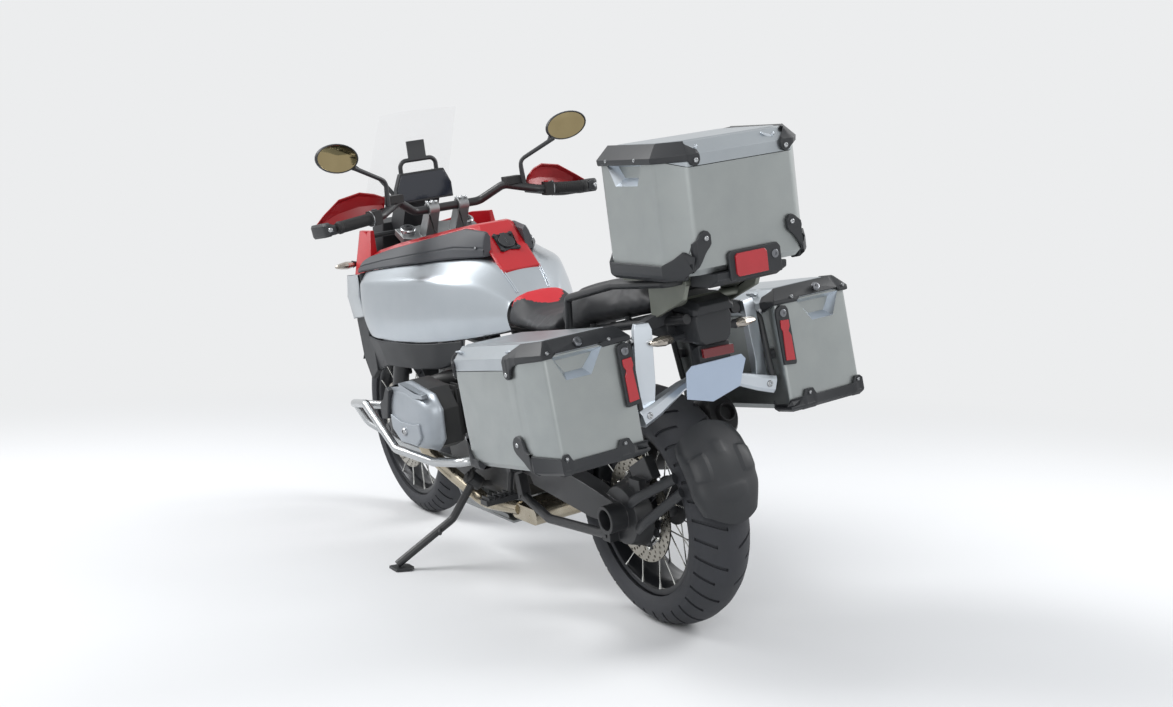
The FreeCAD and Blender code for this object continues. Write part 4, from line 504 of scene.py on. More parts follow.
def make_tank():
    bm = loft([[(row[0], y, z) for y, z in row[1:]] for row in TANK_ROWS], closed=False)
    for column, firm in ((TANK_RIDGE, 1.0), (TANK_CREASE, 0.5), (TANK_FOOT, 0.75)):
        line = tank_line(column)
        crease(bm, lambda edge: lies_on(edge, line), firm)
    lip = {(x, y, z) for x, *row in TANK_ROWS if x in TANK_ENDS for y, z in row}
    crease(bm, lambda edge: lies_on(edge, lip), 0.5)
    finish_mesh("tank_shell", bm, "fuel_tank", "tank_aluminium", sharp=60, levels=3, double=True,
        whole=True)
    # seam lines in the aluminium painted lighter as a painted highlight
    seams = [bar([(606, y, 916), (575, y * 0.93, 884.5), (546, y * 0.85, 852)], 1.3, sides=8)
        for y in (57, 63)]
    finish_mesh("tank_seams", join(seams), "fuel_tank", "bright_aluminium", double=True)


REAR_AXLE, FRONT_AXLE = Vector((0, 0, 318)), Vector((1534, 0, 325))
SPOKES, SPOKE_SWEEP = 32, 27
DISC_CELLS, DISC_ARMS = 72, 10
# Tyres: (offset from the middle, radius), crown to bead
REAR_TYRE = [(0, 318), (14, 317), (28, 314), (42, 308.8), (54, 302.2), (64, 294.8), (71, 287.5),
    (77, 279), (82, 267), (83, 255), (79, 240), (69, 228), (60, 232.5), (52, 231), (50, 217.5)]
FRONT_TYRE = [(0, 325), (11, 324), (21, 321.3), (31, 316.7), (40, 310.4), (48, 302), (53, 294), (57, 284),
              (59, 274), (57, 264), (52, 255), (44, 256.5), (38, 255), (33, 242.5)]
# How far grooves stay above the bead, and a block's share of a ring step more than the slot's
GROOVE_FOOT, BLOCK_SHARE = 40, 0.66
# Fewest and most offset of long and short grooves
REAR_GROOVES = ((12, 80), (40, 80))
FRONT_GROOVES = ((9, 58), (28, 58))


def make_tyre(node, axle, half_profile, pitches, grooves, depth, slant):
    """Spun casing; its rings are moved into wide blocks and narrow slots, slanted, and the slots sunk."""
    left = [(radius, offset) for offset, radius in reversed(half_profile)]
    right = [(radius, -offset) for offset, radius in half_profile[1:]]
    bm = turned(left + right + left[:1], steps=pitches * 2)
    step = math.pi / pitches
    half = max(offset for offset, _ in half_profile)
    rings = {}
    for vert in bm.verts:
        ring = round(math.atan2(vert.co.y, vert.co.x) / step) % (pitches * 2)
        rings.setdefault(ring, []).append(vert)
        turn = (ring % 2) * BLOCK_SHARE * step + slant * (abs(vert.co.z) / half) ** 1.3
        bmesh.ops.rotate(bm, verts=[vert], cent=(0, 0, 0), matrix=Matrix.Rotation(turn, 3, "Z"))
    ring_of = {vert: ring for ring, verts in rings.items() for vert in verts}
    bmesh.ops.recalc_face_normals(bm, faces=bm.faces)
    lowest = min(radius for _, radius in half_profile) + GROOVE_FOOT
    slots = []
    for face in bm.faces:
        held = sorted({ring_of[vert] for vert in face.verts})
        slot = held[0] % 2 == 1 and held[1] == held[0] + 1 or held == [0, pitches * 2 - 1]
        middle = face.calc_center_median()
        if not slot or middle.to_2d().length < lowest:
            continue
        pitch = held[-1] // 2 if held != [0, pitches * 2 - 1] else 0
        long_here = (pitch % 2 == 0) == (middle.z > 0)
        near, far = grooves[0] if long_here else grooves[1]
        if near < abs(middle.z) < far:
            slots.append(face)
    bmesh.ops.inset_region(bm, faces=slots, thickness=0.4, depth=-depth, use_even_offset=True)
    moved(bm, aim(axle, (0, 1, 0)))
    finish_mesh(node + "_tread", bm, node, "tyre_rubber", sharp=38, whole=True)


def mirrored(profile):
    return [(radius, -offset) for radius, offset in reversed(profile)]


def make_rim(seat, half):
    """Rim with rolled lips and a dropped well, from (radius, offset) points."""
    outer = [(seat + 13, half + 3.5), (seat + 14.5, half + 1.5), (seat + 13, half),
        (seat + 2, half - 0.3), (seat, half - 2), (seat - 1, half - 12), (seat - 12, half * 0.5),
        (seat - 14, half * 0.3)]
    inner = [(seat - 19, half * 0.3), (seat - 17, half * 0.55), (seat - 8, half - 6), (seat - 7, half),
        (seat - 4, half + 3), (seat + 8, half + 4.6)]
    chain = outer + mirrored(outer) + mirrored(inner) + inner
    return turned(chain + chain[:1], steps=64)


def make_spokes(seat, half, flange, hub_half):
    """Crossed spokes from the hub's flanges out to the rim's edges, each in its nipple."""
    wires = []
    for index in range(SPOKES):
        side = 1 if index % 2 else -1
        sweep = math.radians(SPOKE_SWEEP if index % 4 < 2 else -SPOKE_SWEEP)
        turn = FULL * index / SPOKES
        root = Vector((*polar(flange, turn + sweep), side * hub_half))
        tip = Vector((*polar(seat - 5, turn), side * (half - 1)))
        wires.append(tint(bar([root, tip], 2.0, sides=6), 1))
        run = (tip - root).normalized()
        wires.append(tint(bar([tip - run * 15, tip - run * 2, tip], [2.6, 3.6, 3.6], sides=6), 1))
    return wires


def make_disc(outer, inner, level):
    """Brake disc with slotted rows of drilled holes, as a ring of cells with some opened."""
    width = outer - inner
    bm = turned([(inner + width * share, level) for share in (0, 0.3, 0.55, 0.8, 1)], DISC_CELLS)
    holes = []
    for face in bm.faces:
        middle = face.calc_center_median()
        column = int((math.atan2(middle.y, middle.x) % FULL) / (FULL / DISC_CELLS))
        band = int((middle.to_2d().length - inner) / width * 4)
        if band < 4 and (column + band) % 3 == 0:
            holes.append(face)
    bmesh.ops.inset_individual(bm, faces=holes, thickness=2.2)
    bmesh.ops.delete(bm, geom=holes, context="FACES")
    bmesh.ops.recalc_face_normals(bm, faces=bm.faces)
    bmesh.ops.solidify(bm, geom=bm.faces[:], thickness=4.6)
    return bm


def make_spider(outer, bolt, level):
    """Dark spider that carries a disc on its arms."""
    outline = []
    for arm in range(DISC_ARMS):
        for share, radius in ((-0.16, outer), (0.16, outer), (0.3, bolt + 10), (0.7, bolt + 10)):
            outline.append(polar(radius, FULL * (arm + share) / DISC_ARMS))
    return slab(outline, level - 2.5, level + 2.5)


def make_wheel(node, axle, seat, half, flange, hub_half, discs):
    """Wire wheel: black rim, bright spokes, dark hub and its discs at their levels."""
    hub = [(0, hub_half + 24), (16, hub_half + 24), (22, hub_half + 20), (34, hub_half + 12),
        (36, hub_half + 4), (flange - 3, hub_half + 4), (flange, hub_half + 1), (flange, hub_half - 4),
        (flange * 0.62, hub_half - 14)]
    hub = turned(hub + [(flange * 0.58, 0)] + mirrored(hub), steps=40)
    parts = [make_rim(seat, half), tint(hub, 2)] + make_spokes(seat, half, flange - 4, hub_half)
    for outer, inner, bolt, level in discs:
        parts.append(tint(make_disc(outer, inner, level), 3))
        parts.append(tint(make_spider(inner + 8, bolt, level), 2))
        for arm in range(DISC_ARMS):
            spot = Vector((*polar(inner + 2, FULL * arm / DISC_ARMS), level))
            for way in (1, -1):
                parts.append(tint(screw(spot + Vector((0, 0, 4.2 * way)), (0, 0, way), 6.5), 1))
    bm = moved(join(parts), aim(axle, (0, 1, 0)))
    finish_mesh(node + "_spoked", bm, node, ("rim_black", "spoke_steel", "hub_black", "disc_steel"),
        sharp=40, whole=True)


def make_wheels():
    make_tyre("front_tyre", FRONT_AXLE, FRONT_TYRE, 44, FRONT_GROOVES, 4.5, 0.10)
    make_tyre("rear_tyre", REAR_AXLE, REAR_TYRE, 36, REAR_GROOVES, 5.5, 0.13)
    make_wheel("front_wheel", FRONT_AXLE, 242, 40.3, 56, 30, [(152, 118, 42, 62), (152, 118, 42, -62)])
    make_wheel("rear_wheel", REAR_AXLE, 217, 58.3, 66, 38, [(138, 98, 50, 66)])


# Rear hugger: where it starts and how far it runs round the axle, and offsets across with their radius
HUGGER_START, HUGGER_SWEEP = 133, 44
HUGGER_ACROSS = [(92, 308), (95, 322), (90, 336), (74, 345), (44, 349), (16, 351), (0, 351.5)]
# Raised pads: from and to as shares of the run, nearest and farthest offset, height
HUGGER_PADS = ((0.3, 0.58, 40, 90, 3.5), (0.62, 0.8, 0, 46, 2.5), (0.2, 0.36, 0, 30, 2.0))


def make_hugger():
    """Shell over the tyre's rear, shouldered, with raised pads and a scooped lower edge, on two arms."""
    rows = []
    for step in range(15):
        share = step / 14
        # the ends narrow, and the sides are cut back towards the lower end
        narrow = 1 - 0.22 * max(0, share - 0.72) / 0.28 - 0.10 * max(0, 0.15 - share) / 0.15
        ridge = 5 * math.exp(-((share - 0.42) / 0.16) ** 2)
        middle = math.radians(HUGGER_START + HUGGER_SWEEP * share)
        row = []
        for offset, radius in HUGGER_ACROSS:
            turn = middle - 0.18 * (offset / 95) ** 2 * (share - 0.5)
            reach = radius + ridge * (1 if offset < 80 else 0.3)
            row.append((math.cos(turn) * reach, offset * narrow, REAR_AXLE.z + math.sin(turn) * reach))
        rows.append(row)
    bm = loft(rows, closed=False)
    bmesh.ops.mirror(bm, geom=bm.verts[:] + bm.edges[:] + bm.faces[:], axis="Y", merge_dist=0.01)
    bmesh.ops.remove_doubles(bm, verts=bm.verts, dist=0.05)
    bmesh.ops.recalc_face_normals(bm, faces=bm.faces)
    outwards = sum(face.normal.dot(face.calc_center_median() - REAR_AXLE) for face in bm.faces)
    away = 1 if outwards > 0 else -1
    for low, high, near, far, lift in HUGGER_PADS:
        pads = []
        for face in bm.faces:
            middle = face.calc_center_median()
            turn = math.degrees(math.atan2(middle.z - REAR_AXLE.z, middle.x))
            share = (turn - HUGGER_START) / HUGGER_SWEEP
            if low < share < high and near < abs(middle.y) < far:
                pads.append(face)
        bmesh.ops.inset_region(bm, faces=pads, thickness=2.5, depth=lift * away, use_even_offset=True)
    finish_mesh("hugger_shell", bm, "rear_hugger", "black_moulding", sharp=50, thick=3.5, levels=1,
        whole=True)
    flat = [(x * 0.6, y) for x, y in (polar(1, math.pi / 6 * step) for step in range(12))]
    arms = [bar([(x0, 112, z0), (x0 - 60, 134, z0 + 30), (x1, 96, z1)], 14, bend=40, shape=flat)
        for x0, z0, x1, z1 in ((-36, 352, -236, 452), (-60, 290, -258, 420))]
    finish_mesh("hugger_arms", join(arms), "rear_hugger", "black_moulding", sharp=50)


# Cases, each drawn in its own frame: X from its rear wall forward, Z up from its floor
CASE_LEFT = Matrix.Translation((-318, 214, 562)) @ Matrix.Rotation(math.radians(6.5), 4, "Y")
CASE_TOP = Matrix.Translation((-507, 0, 968))
SIDE_SKIRT, SIDE_CROWN = 269, 298
TOP_SKIRT, TOP_CROWN = 263, 290
# How far in the lid's bevel and the sides of a pressed hold run
LID_INSET, HOLD_LEAN = 26, 19
# Skin of a wall: level below the outside, how much wider its hold is, and how deep
HOLD_SKINS = ((3, 4, 23), (0, 0, 22))
# Plan points with the height of the seam there: it climbs where a hand hold is pressed in below it
SIDE_PLAN = [(0, 0, 266), (60, 0, 240), (480, 0, 240), (480, 218, 240), (440, 240, 240), (158, 240, 240),
             (134, 240, 263), (90, 240, 263), (0, 220, 266)]
TOP_PLAN = [(0, -140, 236), (56, -192, 258), (272, -192, 258), (312, -156, 236), (312, 156, 236),
            (272, 192, 258), (56, 192, 258), (0, 140, 236)]


def outward(path, closed=False):
    """Mitred outward steps at the points of a plan that runs anticlockwise."""
    steps = []
    for index, here in enumerate(path):
        sides = []
        # an open path has one side only at either end
        before = path[index - 1] if closed or index else None
        after = path[(index + 1) % len(path)] if closed or index < len(path) - 1 else None
        for start, end in ((before, here), (here, after)):
            if start and end:
                run = Vector((end[0] - start[0], end[1] - start[1])).normalized()
                sides.append(Vector((run.y, -run.x)))
        mitre = sides[0] if len(sides) == 1 else (sides[0] + sides[1]) / (1 + sides[0].dot(sides[1]))
        steps.append(mitre)
    return steps


def ring_at(plan, grow, level):
    """The plan grown outwards, at one level or at a level for each point."""
    levels = level if isinstance(level, list) else [level] * len(plan)
    return [(point[0] + step.x * grow, point[1] + step.y * grow, z)
        for point, step, z in zip(plan, outward(plan, True), levels)]


def round_outer(bm, rows, width):
    """Round the edges that run up between rings of outer points."""
    spots = {tuple(round(c, 2) for c in point) for row in rows for point in row}
    picked = []
    for edge in bm.edges:
        near = [tuple(round(c, 2) for c in vert.co) in spots for vert in edge.verts]
        run = edge.verts[1].co - edge.verts[0].co
        if all(near) and abs(run.normalized().z) > 0.5:
            picked.append(edge)
    bmesh.ops.bevel(bm, geom=picked, offset=width, offset_type="OFFSET", segments=3, profile=0.5,
        affect="EDGES", material=-1)


def cut_out(bm, wall, level, corners):
    """Cut an outline into a flat wall and give back the face inside it."""
    facing = (Vector(wall(0, 0, 0)) - Vector(wall(0, 0, 1))).normalized()
    here = Vector(wall(0, 0, level)).dot(facing)

    def on_wall():
        return [face for face in bm.faces if abs(face.normal.dot(facing)) > 0.999
            and abs(face.calc_center_median().dot(facing) - here) < 0.6]

    broad = [max(on_wall(), key=lambda one: one.calc_area())]
    for start, end in zip(corners, corners[1:] + corners[:1]):
        start, end = Vector(wall(*start, level)), Vector(wall(*end, level))
        held = dict.fromkeys(part for face in broad for part in (face, *face.edges, *face.verts))
        bmesh.ops.bisect_plane(bm, geom=list(held), plane_co=start, plane_no=(end - start).cross(facing))
        broad = on_wall()
    centre = sum((Vector(wall(*corner, level)) for corner in corners), Vector()) / len(corners)
    inside = min(broad, key=lambda one: (one.calc_center_median() - centre).length)
    return inside, facing


def split_wide(bm):
    """Divide faces of many corners evenly, as a bevel starts them at another corner each run."""
    wide = [face for face in bm.faces if len(face.verts) > 4]
    bmesh.ops.triangulate(bm, faces=wide, ngon_method="BEAUTY")


def press_hold(bm, wall, level, corners, depth):
    """Press a tapered hand hold into a wall."""
    hold, facing = cut_out(bm, wall, level, corners)
    inward = -depth if hold.normal.dot(facing) > 0 else depth
    # the hold's faces take the box's second finish, aluminium painted lighter as a painted highlight
    for face in bmesh.ops.inset_individual(bm, faces=[hold], thickness=HOLD_LEAN, depth=inward)["faces"]:
        face.material_index = 1


def make_box(name, node, plan, place, holds):
    """Folded box: walls with rounded upright edges, a bevelled foot, and pressed hand holds."""
    flat = [(x, y) for x, y, _ in plan]
    tops = [seam for _, _, seam in plan]
    outer = [ring_at(flat, 0, 14), ring_at(flat, 0, tops)]
    rows = [ring_at(flat, -14, 0)] + outer + [ring_at(flat, -3, tops), ring_at(flat, -3, 17),
        ring_at(flat, -17, 3)]
    bm = loft(rows)
    round_outer(bm, rows[:3], 8)
    bmesh.ops.recalc_face_normals(bm, faces=bm.faces)
    for wall, left, right, high, low in holds:
        for level, grow, depth in HOLD_SKINS:
            corners = [(left[1] - grow, low - grow), (right[1] + grow, low - grow),
                (right[0] + grow, high), (left[0] - grow, high)]
            press_hold(bm, wall, level, corners, depth)
    split_wide(bm)
    finish_mesh(name, bm, node, ("case_aluminium", "bright_aluminium"), sharp=40, place=place, whole=True)


def make_lid(name, node, plan, skirt, crown, place):
    """Pressed lid: skirt, bevel and a raised top panel, hollow below."""
    flat = [(x, y) for x, y, _ in plan]
    lows = [seam + 1.2 for _, _, seam in plan]
    outer = [ring_at(flat, 0, lows), ring_at(flat, 0, skirt), ring_at(flat, -LID_INSET, crown),
        ring_at(flat, -LID_INSET - 9, crown)]
    rows = [ring_at(flat, -LID_INSET - 3, crown - 3), ring_at(flat, -3, skirt - 1),
        ring_at(flat, -3, lows)]
    rows += outer + [ring_at(flat, -LID_INSET - 15, crown + 3)]
    bm = loft(rows)
    round_outer(bm, outer[:3], 7)
    bmesh.ops.recalc_face_normals(bm, faces=bm.faces)
    # the lid's colour is the case aluminium painted lighter and cooler, painted light on its top
    finish_mesh(name, bm, node, "case_lid", sharp=24, bevel=1.2, place=place, whole=True)


def wrap(stations, skirt=0.0, crown=0.0):
    """Guard strip wrapped round a plan path."""
    rows = []
    for (x, y, low, high), step in zip(stations, outward([one[:2] for one in stations])):
        if low is None:
            profile = [(7.3, high), (7.3, 6), (5.5, 1.5), (-5, -7), (-26, -7), (-26, -0.4), (-13.8, -0.4),
                (0.4, 13.8), (0.4, high)]
        elif high < 1:
            over, level = -LID_INSET * high, skirt + (crown - skirt) * high
            profile = [(0.4, low), (6, low), (7.3, low + 1.5), (7.3, skirt + 1),
                (over + 6.5, level + 4.5), (over + 4.5, level + 6), (over + 0.6, level + 0.6),
                (0.5, skirt + 0.4), (0.4, skirt - 1)]
        else:
            middle = (low + high) / 2
            profile = [(0.4, low), (6, low), (7.3, low + 1.5), (7.3, middle), (7.3, high - 1.5),
                (6, high), (0.4, high), (0.4, middle + 1), (0.4, middle)]
        rows.append([(x + step.x * out, y + step.y * out, z) for out, z in profile])
    return loft(rows)


# Guards round a case: x, y, lower edge (none where it wraps the floor), and the upper edge or, below 1, the
# share of the lid's bevel that it covers
SIDE_LID_REAR = [(158, 240, 232, 264), (156, 240, 226, 267), (150, 240, 221.5, 0.05),
    (143, 240, 220, 0.12), (135, 240, 221.5, 0.22), (130, 240, 227, 0.3), (127, 240, 240, 0.36),
    (110, 240, 251, 0.6), (90, 240, 257, 0.86), (0, 220, 260, 0.92), (0, 200, 260, 0.92),
    (0, 192, 270, 0.92), (0, 76, 270, 0.92), (0, 66, 260, 0.92), (0, 0, 262, 0.9), (24, 0, 254, 0.7),
    (50, 0, 246, 0.3)]
SIDE_LID_FRONT = [(440, 0, 246, 0.1), (480, 0, 248, 0.5), (480, 218, 244, 0.55), (470, 223.5, 226, 0.4),
    (465, 226.2, 221.5, 0.3), (458, 230.1, 220.5, 0.2), (451, 234, 223, 0.12), (447, 236.1, 230, 268),
    (440, 240, 246, 262)]
SIDE_LOW_REAR = [(180, 240, 58, 68), (177, 240, 50, 76), (170, 240, 43, 83), (160, 240, 37, 87),
    (150, 240, 31, 87), (140, 240, 25, 84), (132, 240, 19, 76), (127, 240, 15, 60), (118, 240, 9, 49),
    (108, 240, 4, 45), (96, 240, None, 43), (0, 220, None, 36), (0, 218, None, 43), (0, 204, None, 43),
    (0, 196, None, 27), (0, 76, None, 27), (0, 68, None, 43), (0, 44, None, 43), (0, 36, None, 27),
    (0, 0, None, 27), (64, 0, None, 24)]
SIDE_LOW_FRONT = [(404, 0, None, 22), (480, 0, None, 24), (480, 218, None, 30), (477, 219.6, 8, 56),
    (472, 222.4, 26, 72), (464, 226.8, 40, 82), (456, 231.2, 38, 82), (448, 235.6, 20, 70),
    (440, 240, None, 40), (424, 240, None, 20), (396, 240, None, 16)]
TOP_LID_SIDE = [(312, 100, 240, 262), (312, 106, 235, 0.1), (312, 124, 235, 0.3), (312, 140, 244, 0.55),
    (312, 156, 250, 0.8), (272, 192, 252, 0.92), (56, 192, 252, 0.92), (0, 140, 250, 0.88),
    (0, 137, 246, 0.8), (0, 133, 241, 0.6), (0, 127, 238, 0.45), (0, 119, 238, 0.25), (0, 113, 242, 0.12),
    (0, 110, 249, 262)]
TOP_LOW_SIDE = [(312, 84, 62, 74), (312, 88, 54, 86), (312, 96, 46, 92), (312, 106, 36, 92),
    (312, 118, 20, 84), (312, 130, 4, 72), (312, 150, None, 56), (312, 156, None, 52),
    (292, 174, None, 40), (272, 192, None, 32), (56, 192, None, 32), (40, 177, None, 42),
    (24, 162, None, 56), (8, 147, 10, 72), (0, 140, 20, 80), (0, 134, 30, 88), (0, 126, 42, 95),
    (0, 118, 52, 97), (0, 111, 58, 95), (0, 105, 66, 87)]


def raise_pads(bm):
    """Step the guard's broad outer faces up, which leaves a line round them."""
    broad = [face for face in bm.faces if len(face.verts) == 4 and face.calc_area() > 350]
    bmesh.ops.inset_region(bm, faces=broad, thickness=3.0, depth=1.2, use_even_offset=True)
    return bm


def guard_piece(name, node, strips, fittings, place):
    """Moulded guard strips with their screws."""
    parts = []
    for strip in strips:
        bmesh.ops.recalc_face_normals(strip, faces=strip.faces)
        parts.append(raise_pads(strip))
    for point, direction, size in fittings:
        parts.append(tint(screw(point, direction, size), 1))
    finish_mesh(name, join(parts), node, ("black_moulding", "screw_steel"), bevel=0.8, place=place,
        whole=True)


def tie_eyes(name, node, spots, place):
    """Pale cast wedges that a strap hooks onto, at the lid's corners, their aluminium painted lighter as a
    painted highlight.
    """
    parts = []
    for x, y, z, side in spots:
        wedge = loft([[(x - 15, y, z - 7), (x + 15, y, z - 7), (x + 15, y, z + 2), (x - 15, y, z + 2)],
            [(x - 11, y + side * 22, z + 6), (x + 9, y + side * 22, z + 6),
            (x + 9, y + side * 22, z + 13), (x - 11, y + side * 22, z + 11)]])
        loop = bar([(x + 13, y - side * 1, z + 1), (x + 13, y - side * 10, z + 5),
            (x - 12, y - side * 10, z + 6), (x - 13, y - side * 1, z + 1)], 2.6, bend=4, sides=8)
        parts += [wedge, loop]
    finish_mesh(name, join(parts), node, "bright_aluminium", sharp=30, bevel=1.4, place=place)


def key_barrel(place):
    return turned([(0, 0.5), (3, 0.5), (3.4, 2), (8, 2.4), (9.5, 1.6), (10, -3), (0, -3)], 24, place)


def make_side_case(hand, place):
    """One side case: box, lid, guards, eyes, lock barrel, and the lock and reflector panel."""
    box, lid, guards = "side_box_" + hand, "side_lid_" + hand, "side_lid_guards_" + hand
    hold = (lambda u, v, inward: (inward, u, v), (67, 106), (199, 172), 262, 205)
    make_box("shell_" + hand, box, SIDE_PLAN, place, [hold])
    make_lid("lid_" + hand, lid, SIDE_PLAN, SIDE_SKIRT, SIDE_CROWN, place)
    rear, chamfer = (-1, 0, 0), (0.482, 0.876, 0)
    lid_screws = [((143, 247.5, 233), (0, 1, 0), 6), ((457, 237, 234), chamfer, 6),
        ((-8.5, 212, 274), rear, 4.5), ((-8.5, 50, 274), rear, 4.5)]
    strips = [wrap(SIDE_LID_REAR, SIDE_SKIRT, SIDE_CROWN), wrap(SIDE_LID_FRONT, SIDE_SKIRT, SIDE_CROWN)]
    guard_piece("lid_guards_" + hand, guards, strips, lid_screws, place)
    lock = aim((-7, 129, 286), (-0.82, 0, 0.57))
    barrel = turned([(0, 1), (3, 1), (3.4, 2.6), (7.5, 3), (10, 2.4), (11, 0), (11, -4), (0, -4)], 28,
        lock)
    slit = moved(brick(-1, 1, -4, 4, 1, 3.1), lock)
    finish_mesh("lid_lock_" + hand, join([barrel, slit]), guards, "lock_steel", place=place, bevel=0.4)
    tie_eyes("lid_eyes_" + hand, lid, [(420, 222, 284, -1), (136, 226, 280, -1), (100, 14, 288, 1),
        (430, 14, 288, 1)], place)
    strips = [wrap(SIDE_LOW_REAR), wrap(SIDE_LOW_FRONT)]
    low_screws = [((156, 247.5, 66), (0, 1, 0), 6), ((460, 236, 69), chamfer, 6),
        ((-7.6, 211, 33), rear, 4.5), ((-7.6, 56, 33), rear, 4.5)]
    guard_piece("foot_guards_" + hand, "case_guards", strips, low_screws, place)
    panel = slab([(-5, 114), (30, 110), (33, 116), (33, 246), (28, 256), (12, 260), (-2, 252), (-6, 240)],
        -9, -0.4, "X")
    finish_mesh("lock_panel_" + hand, panel, "case_guards", "black_moulding", bevel=2.2, segments=3,
        place=place)
    glass = slab([(0, 124), (27, 121), (27, 182), (21, 194), (27, 206), (27, 221), (2, 223), (0, 204),
        (4, 196)], -12, -8, "X")
    finish_mesh("reflector_" + hand, glass, "case_guards", "red_reflector", bevel=1.2, place=place)
    finish_mesh("case_key_" + hand, key_barrel(aim((-9, 15, 239), rear)), "case_guards", "lock_steel",
        place=place)


def make_top_case():
    """Top case: box with a hold in each end, lid, end guards, eyes, and the lock unit's details."""
    left = (lambda u, v, inward: (u, 192 - inward, v), (100, 126), (246, 218), 255, 204)
    right = (lambda u, v, inward: (u, inward - 192, v), (100, 126), (246, 218), 255, 204)
    make_box("shell_top", "top_box", TOP_PLAN, CASE_TOP, [left, right])
    make_lid("lid_top", "top_lid", TOP_PLAN, TOP_SKIRT, TOP_CROWN, CASE_TOP)
    flip = [[(x, -y, low, high) for x, y, low, high in table][::-1]
        for table in (TOP_LID_SIDE, TOP_LOW_SIDE)]
    rear, front = (-1, 0, 0), (1, 0, 0)
    screws, low_screws = [], []
    for side in (1, -1):
        screws += [((-7.6, side * 122, 250), rear, 6), ((319.6, side * 116, 248), front, 6),
            ((116, side * 200, 262), (0, side, 0), 4.5), ((236, side * 200, 262), (0, side, 0), 4.5)]
        low_screws += [((-7.6, side * 118, 80), rear, 6), ((319.6, side * 98, 78), front, 6)]
    guard_piece("lid_guards_top", "top_lid_guards", [wrap(TOP_LID_SIDE, TOP_SKIRT, TOP_CROWN),
        wrap(flip[0], TOP_SKIRT, TOP_CROWN)], screws, CASE_TOP)
    tie_eyes("lid_eyes_top", "top_lid", [(24, 112, 274, 1), (288, 112, 274, 1), (24, -98, 274, 1),
        (288, -98, 274, 1)], CASE_TOP)
    guard_piece("foot_guards_top", "top_case_guards", [wrap(TOP_LOW_SIDE), wrap(flip[1])], low_screws,
        CASE_TOP)
    unit = loft([[(-510, y, 966), (-508, y, 950), (-470, y, 931), (-400, y, 931), (-400, y, 966)]
        for y in (-96, -60, 60, 96)])
    finish_mesh("lock_unit_made", unit, "top_case_guards", "black_moulding", bevel=3, segments=3)
    glass = slab([(-36, 951), (44, 951), (50, 958), (50, 998), (44, 1003), (-30, 1003), (-36, 996)], -521,
        -512, "X")
    backing = slab([(-78, 944), (64, 944), (66, 1002), (58, 1010), (-70, 1010), (-78, 1000)], -516, -507,
        "X")
    finish_mesh("top_reflector", glass, "top_case_guards", "red_reflector", bevel=1.6)
    finish_mesh("top_reflector_back", backing, "top_case_guards", "black_moulding", bevel=3, segments=3)
    finish_mesh("top_key", key_barrel(aim((-516, -60, 985), rear)), "top_case_guards", "lock_steel")


# How the seats are filled: voxel and farthest move in mm, and the cloth's pressure
PAD_GRID, PAD_MOST, PAD_PRESSURE = 7.5, 7.0, 3.0
# Seats as rows across, from the front back: x, half width, foot, side and top heights
RIDER_SEAT = [(546, 92, 774, 806, 846), (522, 106, 768, 806, 850), (490, 112, 766, 802, 838),
              (430, 116, 766, 792, 812), (370, 126, 770, 790, 808), (300, 138, 772, 792, 812),
              (240, 140, 778, 796, 820), (205, 132, 786, 806, 826)]
PILLION_SEAT = [(196, 112, 792, 826, 858), (170, 126, 788, 842, 876), (110, 128, 800, 852, 896),
    (30, 126, 820, 862, 904), (-60, 120, 836, 868, 906), (-150, 106, 850, 876, 908),
    (-215, 92, 862, 884, 906)]


def seat_blank(rows):
    """Closed seat shape, a little smaller than it ends up, before it is filled."""
    rings = []
    for x, half, foot, side, top in rows:
        across = [(0, foot), (half * 0.7, foot), (half - 6, foot + 4), (half, (foot + side) / 2),
            (half - 4, side), (half * 0.72, top - 6), (half * 0.36, top - 1), (0, top)]
        ring = [(x, y, z) for y, z in across] + [(x, -y, z) for y, z in reversed(across[1:-1])]
        rings.append(ring)
    return loft(rings)


def fill_pad(name, node, rows, finishes, pick):
    """Pad filled by a short cloth run, kept near its blank."""
    bm = moved(seat_blank(rows), UPRIGHT)
    bmesh.ops.recalc_face_normals(bm, faces=bm.faces)
    pad = link_mesh(name, bm)
    add_modifier(pad, "grid", "REMESH", mode="VOXEL", voxel_size=PAD_GRID * MM)
    settle(pad)
    add_modifier(pad, "eased", "SMOOTH", factor=0.5, iterations=8)
    settle(pad)
    start = [vert.co.copy() for vert in pad.data.vertices]
    cloth = pad.modifiers.new("filling", "CLOTH")
    cloth.settings.use_pressure = True
    cloth.settings.uniform_pressure_force = PAD_PRESSURE
    cloth.settings.effector_weights.gravity = 0
    cloth.settings.quality = 4
    cloth.settings.tension_stiffness = 20
    for tick in range(1, 21):
        bpy.context.scene.frame_set(tick)
    settle(pad)
    bpy.context.scene.frame_set(1)
    for vert, was in zip(pad.data.vertices, start):
        shift = vert.co - was
        if shift.length > PAD_MOST * MM:
            vert.co = was + shift.normalized() * PAD_MOST * MM
    for one in finishes:
        pad.data.materials.append(FINISHES[one])
    back = UPRIGHT.inverted()
    for face in pad.data.polygons:
        face.use_smooth = True
        face.material_index = pick(back @ face.center)
    add_modifier(pad, "finer", "SUBSURF", levels=1, render_levels=1)
    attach(pad, frame["nodes"][node]["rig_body"])
    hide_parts(node)


def settle(piece):
    """Apply the piece's modifiers to its mesh."""
    bpy.context.view_layer.update()
    shown = piece.evaluated_get(bpy.context.evaluated_depsgraph_get())
    mesh = bpy.data.meshes.new_from_object(shown)
    piece.modifiers.clear()
    piece.data = mesh


def on_red_panel(spot):
    """Red panel sewn into the rider's seat: a rounded tongue from the tank's end back."""
    back = (spot.x - 436) / 109
    return int(back > 0 and abs(spot.y) < 92 * math.sqrt(min(back, 1)) and spot.z > 797 + 24 * back)


